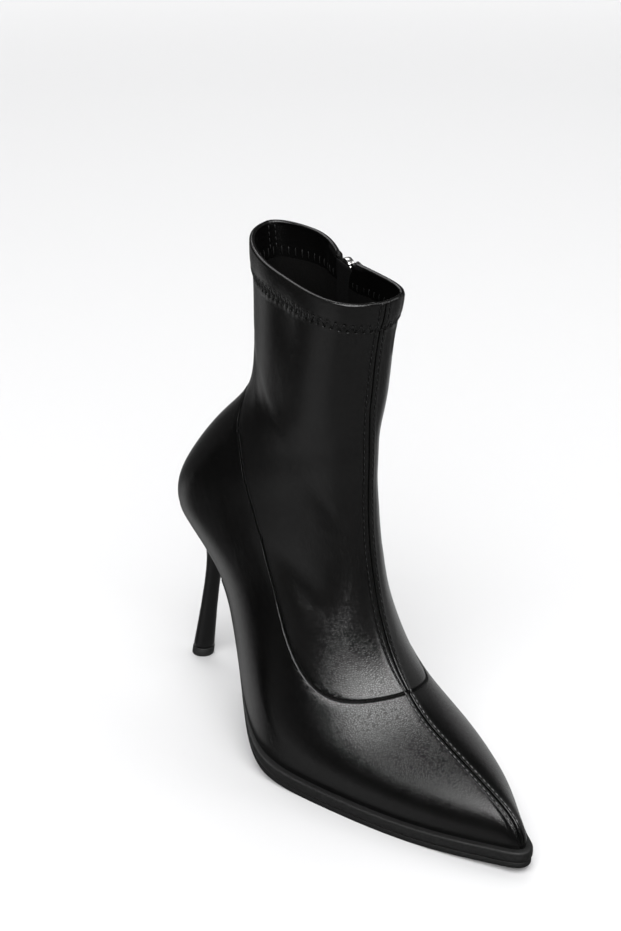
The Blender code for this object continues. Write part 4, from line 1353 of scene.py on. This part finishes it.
def zip_tape():
    """The tape starts below the slot's foot, so that it fills the slot's rounded end."""
    z = np.arange(ZIP_FOOT[1] - TAPE_BELOW, COLLAR_HEIGHT - 4.9, 1.2)
    half = np.array([12.0, 10.0, 8.0, 6.0, 5.0, 4.5, 4.1, 3.7, 3.3, 2.0, 0.7])
    offsets = np.concatenate([-half, half[::-1]])
    raised = 0.3 * bell(np.abs(offsets) - 4.1, 0.35)
    grid_z, grid_o = np.meshgrid(z, offsets, indexing="ij")
    point, normal = zip_surface(grid_z, grid_o)
    face = point - normal * (WALL + GAP - raised)[None, :, None]
    back = point - normal * (WALL + GAP + TAPE_THICK)
    rings = np.concatenate([face, back[:, ::-1]], 1)
    obj = lofted("zip_tape_strip", rings, TAPE)
    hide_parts("zip_tape")


def zip_coil():
    z = np.arange(ZIP_FOOT[1] + 1.5, SLIDER_HEIGHT - SLIDER_LENGTH / 2 - 0.8, COIL_PITCH)
    rows = []
    for side in (-1.0, 1.0):
        shift = 0.0 if side < 0 else COIL_PITCH / 2
        far_side = np.full(len(z), side * (ZIP_CHAIN / 2 - 0.15))
        low, out_low = zip_surface(z + shift + 0.35, far_side)
        high, out_high = zip_surface(z + shift - 0.35, np.full(len(z), -side * 0.35))
        out = (out_low + out_high) / 2
        rows.append((low - out * 0.55, high - out * 0.55, out))
    obj = threads("zip_coil", rows, 0.56, 0.42, COIL)
    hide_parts("zip_teeth")


def zip_frame(height):
    point, out = zip_surface(np.array(height), np.array(0.0))
    above, _ = zip_surface(np.array(height + 2.0), np.array(0.0))
    along = above - point
    along -= out * along.dot(out)
    along /= np.linalg.norm(along)
    return point, out, along, np.cross(along, out)


def place(points):
    """Points given along the zip, across it and out of the wall from the slider's middle."""
    point, out, along, across = zip_frame(SLIDER_HEIGHT)
    points = np.asarray(points, float)
    return point + points[..., :1] * along + points[..., 1:2] * across + points[..., 2:] * out


def soften(obj, width):
    """Rounds an object's sharp edges in its mesh."""
    sharp = math.radians(35)
    work = bmesh.new()
    work.from_mesh(obj.data)
    bmesh.ops.recalc_face_normals(work, faces=work.faces)
    edges = [e for e in work.edges if len(e.link_faces) == 2 and e.calc_face_angle(0) > sharp]
    bmesh.ops.bevel(work, geom=edges, offset=width * MM, segments=3, affect="EDGES", profile=0.5,
                    clamp_overlap=True)
    work.to_mesh(obj.data)
    work.free()
    obj.data.shade_smooth()
    obj.data.set_sharp_from_angle(angle=math.radians(60))


def prism(name, outline, low, high, body):
    """A nickel plate on the slider: an outline along and across the zip, from one height to another."""
    outline = np.asarray(outline, float)
    rings = [np.column_stack([outline, np.full(len(outline), h)]) for h in (low, high)]
    return lofted(name, place(rings), NICKEL, body)


# Outlines as shares of the length and of the half width
SLIDER_OUTLINE = (
    (-1.00, 0.62), (-0.35, 0.76), (0.15, 0.96), (0.38, 1.00), (0.62, 0.90), (0.86, 0.62), (1.00, 0.22),
)
PULL_OUTLINE = ((0.00, 0.86), (0.30, 0.92), (0.92, 1.00), (0.955, 0.94))


def mirrored(table, along_scale, across_scale):
    half = np.array(table) * (along_scale, across_scale)
    return np.concatenate([half, half[::-1] * (1, -1)])


def zip_slider():
    outline = mirrored(SLIDER_OUTLINE, SLIDER_LENGTH / 2, SLIDER_WIDE / 2)
    body = prism("slider_body", outline, SLIDER_BASE, SLIDER_TOP, BODY)
    soften(body, 0.5)
    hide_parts("zip_slider")
    arch = (
        (-3.6, 1.7), (-3.6, 5.1), (-2.5, 6.2), (2.5, 6.2), (3.6, 5.1), (3.6, 1.7),
        (2.5, 1.7), (2.5, 5.1), (-2.5, 5.1), (-2.5, 1.7),
    )
    sides = (-BRIDGE_WIDE / 2, BRIDGE_WIDE / 2)
    rings = np.array([[(along, across, out) for along, out in arch] for across in sides])
    bridge = lofted("slider_bridge", place(rings), NICKEL)
    soften(bridge, 0.3)


def zip_pull():
    low, high = PULL_AXIS - PULL_THICK / 2, PULL_AXIS + PULL_THICK / 2
    side = mirrored(PULL_OUTLINE, -(PULL_LENGTH + PIN_HALF), PULL_WIDE / 2) + (PIN_HALF, 0)
    middle = len(PULL_OUTLINE)
    outline = np.concatenate([side[:middle], [(-PULL_LENGTH, 0.0)], side[middle:]])
    pull = prism("pull_tab", outline, low, high, "pull")
    near, far, wide = -PIN_HALF, -PIN_HALF - WINDOW_LENGTH, WINDOW_WIDE / 2
    window = [(near, -wide), (near, wide), (far, wide), (far, -wide)]
    cutter = prism("pull_window", window, low - 1, high + 1, "pull")
    modifier = pull.modifiers.new("window", "BOOLEAN")
    modifier.operation = "DIFFERENCE"
    modifier.solver = "EXACT"
    modifier.object = cutter
    graph = bpy.context.evaluated_depsgraph_get()
    cut = bpy.data.meshes.new_from_object(pull.evaluated_get(graph))
    pull.modifiers.clear()
    pull.data = cut
    bpy.data.objects.remove(cutter)
    soften(pull, 0.3)
    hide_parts("zip_pull")


# Floor, light and camera

CAMERA_PLACE = (820.41, -568.28, 560.28)
CAMERA_AIM = (-0.71878, 0.55085, -0.42417)
CAMERA_ROLL = 0.4105
FOCAL_PIXELS = 2520.22
PHOTO_LONG_SIDE = 931


def set_camera():
    data = bpy.data.cameras.new("camera")
    data.sensor_width = 36.0
    data.lens = FOCAL_PIXELS * data.sensor_width / PHOTO_LONG_SIDE
    data.clip_start = 0.05
    data.clip_end = 50
    camera = bpy.data.objects.new("camera", data)
    bpy.context.scene.collection.objects.link(camera)
    aim = Vector(CAMERA_AIM).normalized()
    level = aim.cross(Vector((0, 0, 1))).normalized()
    up = level.cross(aim)
    roll = math.radians(CAMERA_ROLL)
    right = level * math.cos(roll) + up * math.sin(roll)
    up = right.cross(aim)
    matrix = Matrix((right, up, -aim)).transposed().to_4x4()
    matrix.translation = Vector(np.array(CAMERA_PLACE) * MM + HEEL_TIP)
    camera.matrix_world = matrix
    bpy.context.scene.camera = camera


def floor():
    """A wide pale floor. It glows further away, where the lights don't reach."""
    size = 30.0
    corners = [(-size, -size, 0), (size, -size, 0), (size, size, 0), (-size, size, 0)]
    mesh = bpy.data.meshes.new("floor")
    mesh.from_pydata(corners, [], [(0, 1, 2, 3)])
    n = Nodes("white_floor")
    n.set(Base_Color=(0.57, 0.57, 0.575, 1), Roughness=0.9, Specular_IOR_Level=0.1)
    away = n.new("ShaderNodeVectorMath", operation="LENGTH")
    n.link(n.place, away.inputs[0])
    glow = n.remap(away.outputs["Value"], 0.95, 2.4, 0.07, 0.92, "SMOOTHSTEP")
    n.set(Emission_Color=(1.0, 1.0, 1.0, 1), Emission_Strength=glow)
    mesh.materials.append(n.material)
    obj = bpy.data.objects.new("floor", mesh)
    bpy.context.scene.collection.objects.link(obj)
    obj.visible_glossy = False


def toward(azimuth, elevation, distance):
    """A point as seen from the boot's middle: azimuth 0 over the toe, 90 on the inner side."""
    a, e = math.radians(azimuth), math.radians(elevation)
    return Vector((math.cos(e) * math.cos(a), math.cos(e) * math.sin(a), math.sin(e))) * distance


# How bright the room is, and its glows: direction, the cosines where each starts and is full, and how
# bright it is. SHADE is a factor on the glows before it.
ROOM_GLOW = 0.03
FLOOR_GLOW = (Vector((0, 0, -1)), 0.05, 0.6, 0.13)
OUTER_GLOW = (toward(-106, -24, 1.0), 0.80, 0.98, 0.15)
SHADE = (toward(-150, -23, 1.0), 0.90, 0.975, 0.15)
BACKDROP_GLOW = (toward(128, -22, 1.0), 0.84, 1.0, 0.36)
SIDE_GLOW = (toward(-174, -32, 1.0), 0.945, 0.99, 0.3)
INNER_GLOW = (toward(84, 3, 1.0), 0.84, 0.99, 0.2)


def softbox(name, azimuth, elevation, distance, size, power, roll):
    """A square soft light aimed at the boot's middle, turned about its own axis."""
    data = bpy.data.lights.new(name, "AREA")
    data.shape = "SQUARE"
    data.size = size
    data.energy = power
    obj = bpy.data.objects.new(name, data)
    bpy.context.scene.collection.objects.link(obj)
    out = toward(azimuth, elevation, distance)
    obj.location = out + Vector((0, 0, 0.1))
    obj.rotation_mode = "QUATERNION"
    obj.rotation_quaternion = (-out).to_track_quat("-Z", "Y") @ Quaternion((0, 0, 1), math.radians(roll))
    return obj


def studio_world():
    """A dim room with a pale floor, a paler backdrop behind the boot and a dark corner at its back."""
    world = bpy.data.worlds.new("studio")
    world.use_nodes = True
    tree = world.node_tree
    direction = tree.nodes.new("ShaderNodeTexCoord").outputs["Generated"]
    room = tree.nodes.new("ShaderNodeValue")
    room.outputs[0].default_value = ROOM_GLOW
    strength = room.outputs[0]
    for glow in (FLOOR_GLOW, OUTER_GLOW, SHADE, BACKDROP_GLOW, SIDE_GLOW, INNER_GLOW):
        aim, start, full, most = glow
        dot = tree.nodes.new("ShaderNodeVectorMath")
        dot.operation = "DOT_PRODUCT"
        dot.inputs[1].default_value = aim
        ramp = tree.nodes.new("ShaderNodeMapRange")
        ramp.interpolation_type = "SMOOTHSTEP"
        operation, least = ("MULTIPLY", 1.0) if glow is SHADE else ("ADD", 0.0)
        for socket, value in zip(list(ramp.inputs)[1:5], (start, full, least, most)):
            socket.default_value = value
        total = tree.nodes.new("ShaderNodeMath")
        total.operation = operation
        tree.links.new(direction, dot.inputs[0])
        tree.links.new(dot.outputs["Value"], ramp.inputs[0])
        tree.links.new(ramp.outputs[0], total.inputs[0])
        tree.links.new(strength, total.inputs[1])
        strength = total.outputs[0]
    background = tree.nodes["Background"]
    background.inputs["Color"].default_value = (1, 1, 1, 1)
    tree.links.new(strength, background.inputs["Strength"])
    bpy.context.scene.world = world


# Soft lights: azimuth, elevation, distance and size in metres, power, turn about the light's axis
SOFTBOXES = {
    "key": (-43, 52, 1.8, 2.1, 64, 45),
    "key_core": (-42, 40, 1.7, 1.0, 5, 45),
    "back": (165, 44, 2.6, 1.5, 14, 0),
    "inner": (60, 50, 2.2, 1.4, 12, 0),
    "fill": (140, 52, 3.2, 2.6, 56, 0),
}


def lights():
    studio_world()
    for name, values in SOFTBOXES.items():
        light = softbox(name, *values)
        light.visible_glossy = name != "fill"
    bpy.context.scene.view_settings.view_transform = "Standard"


upper_skin()
upper_lining()
vamp_threads()
seam_threads()
panel_threads()
hem_threads()
midsole()
outsole()
insole()
heel()
heel_lift()
zip_tape()
zip_coil()
zip_slider()
zip_pull()
floor()
lights()
set_camera()
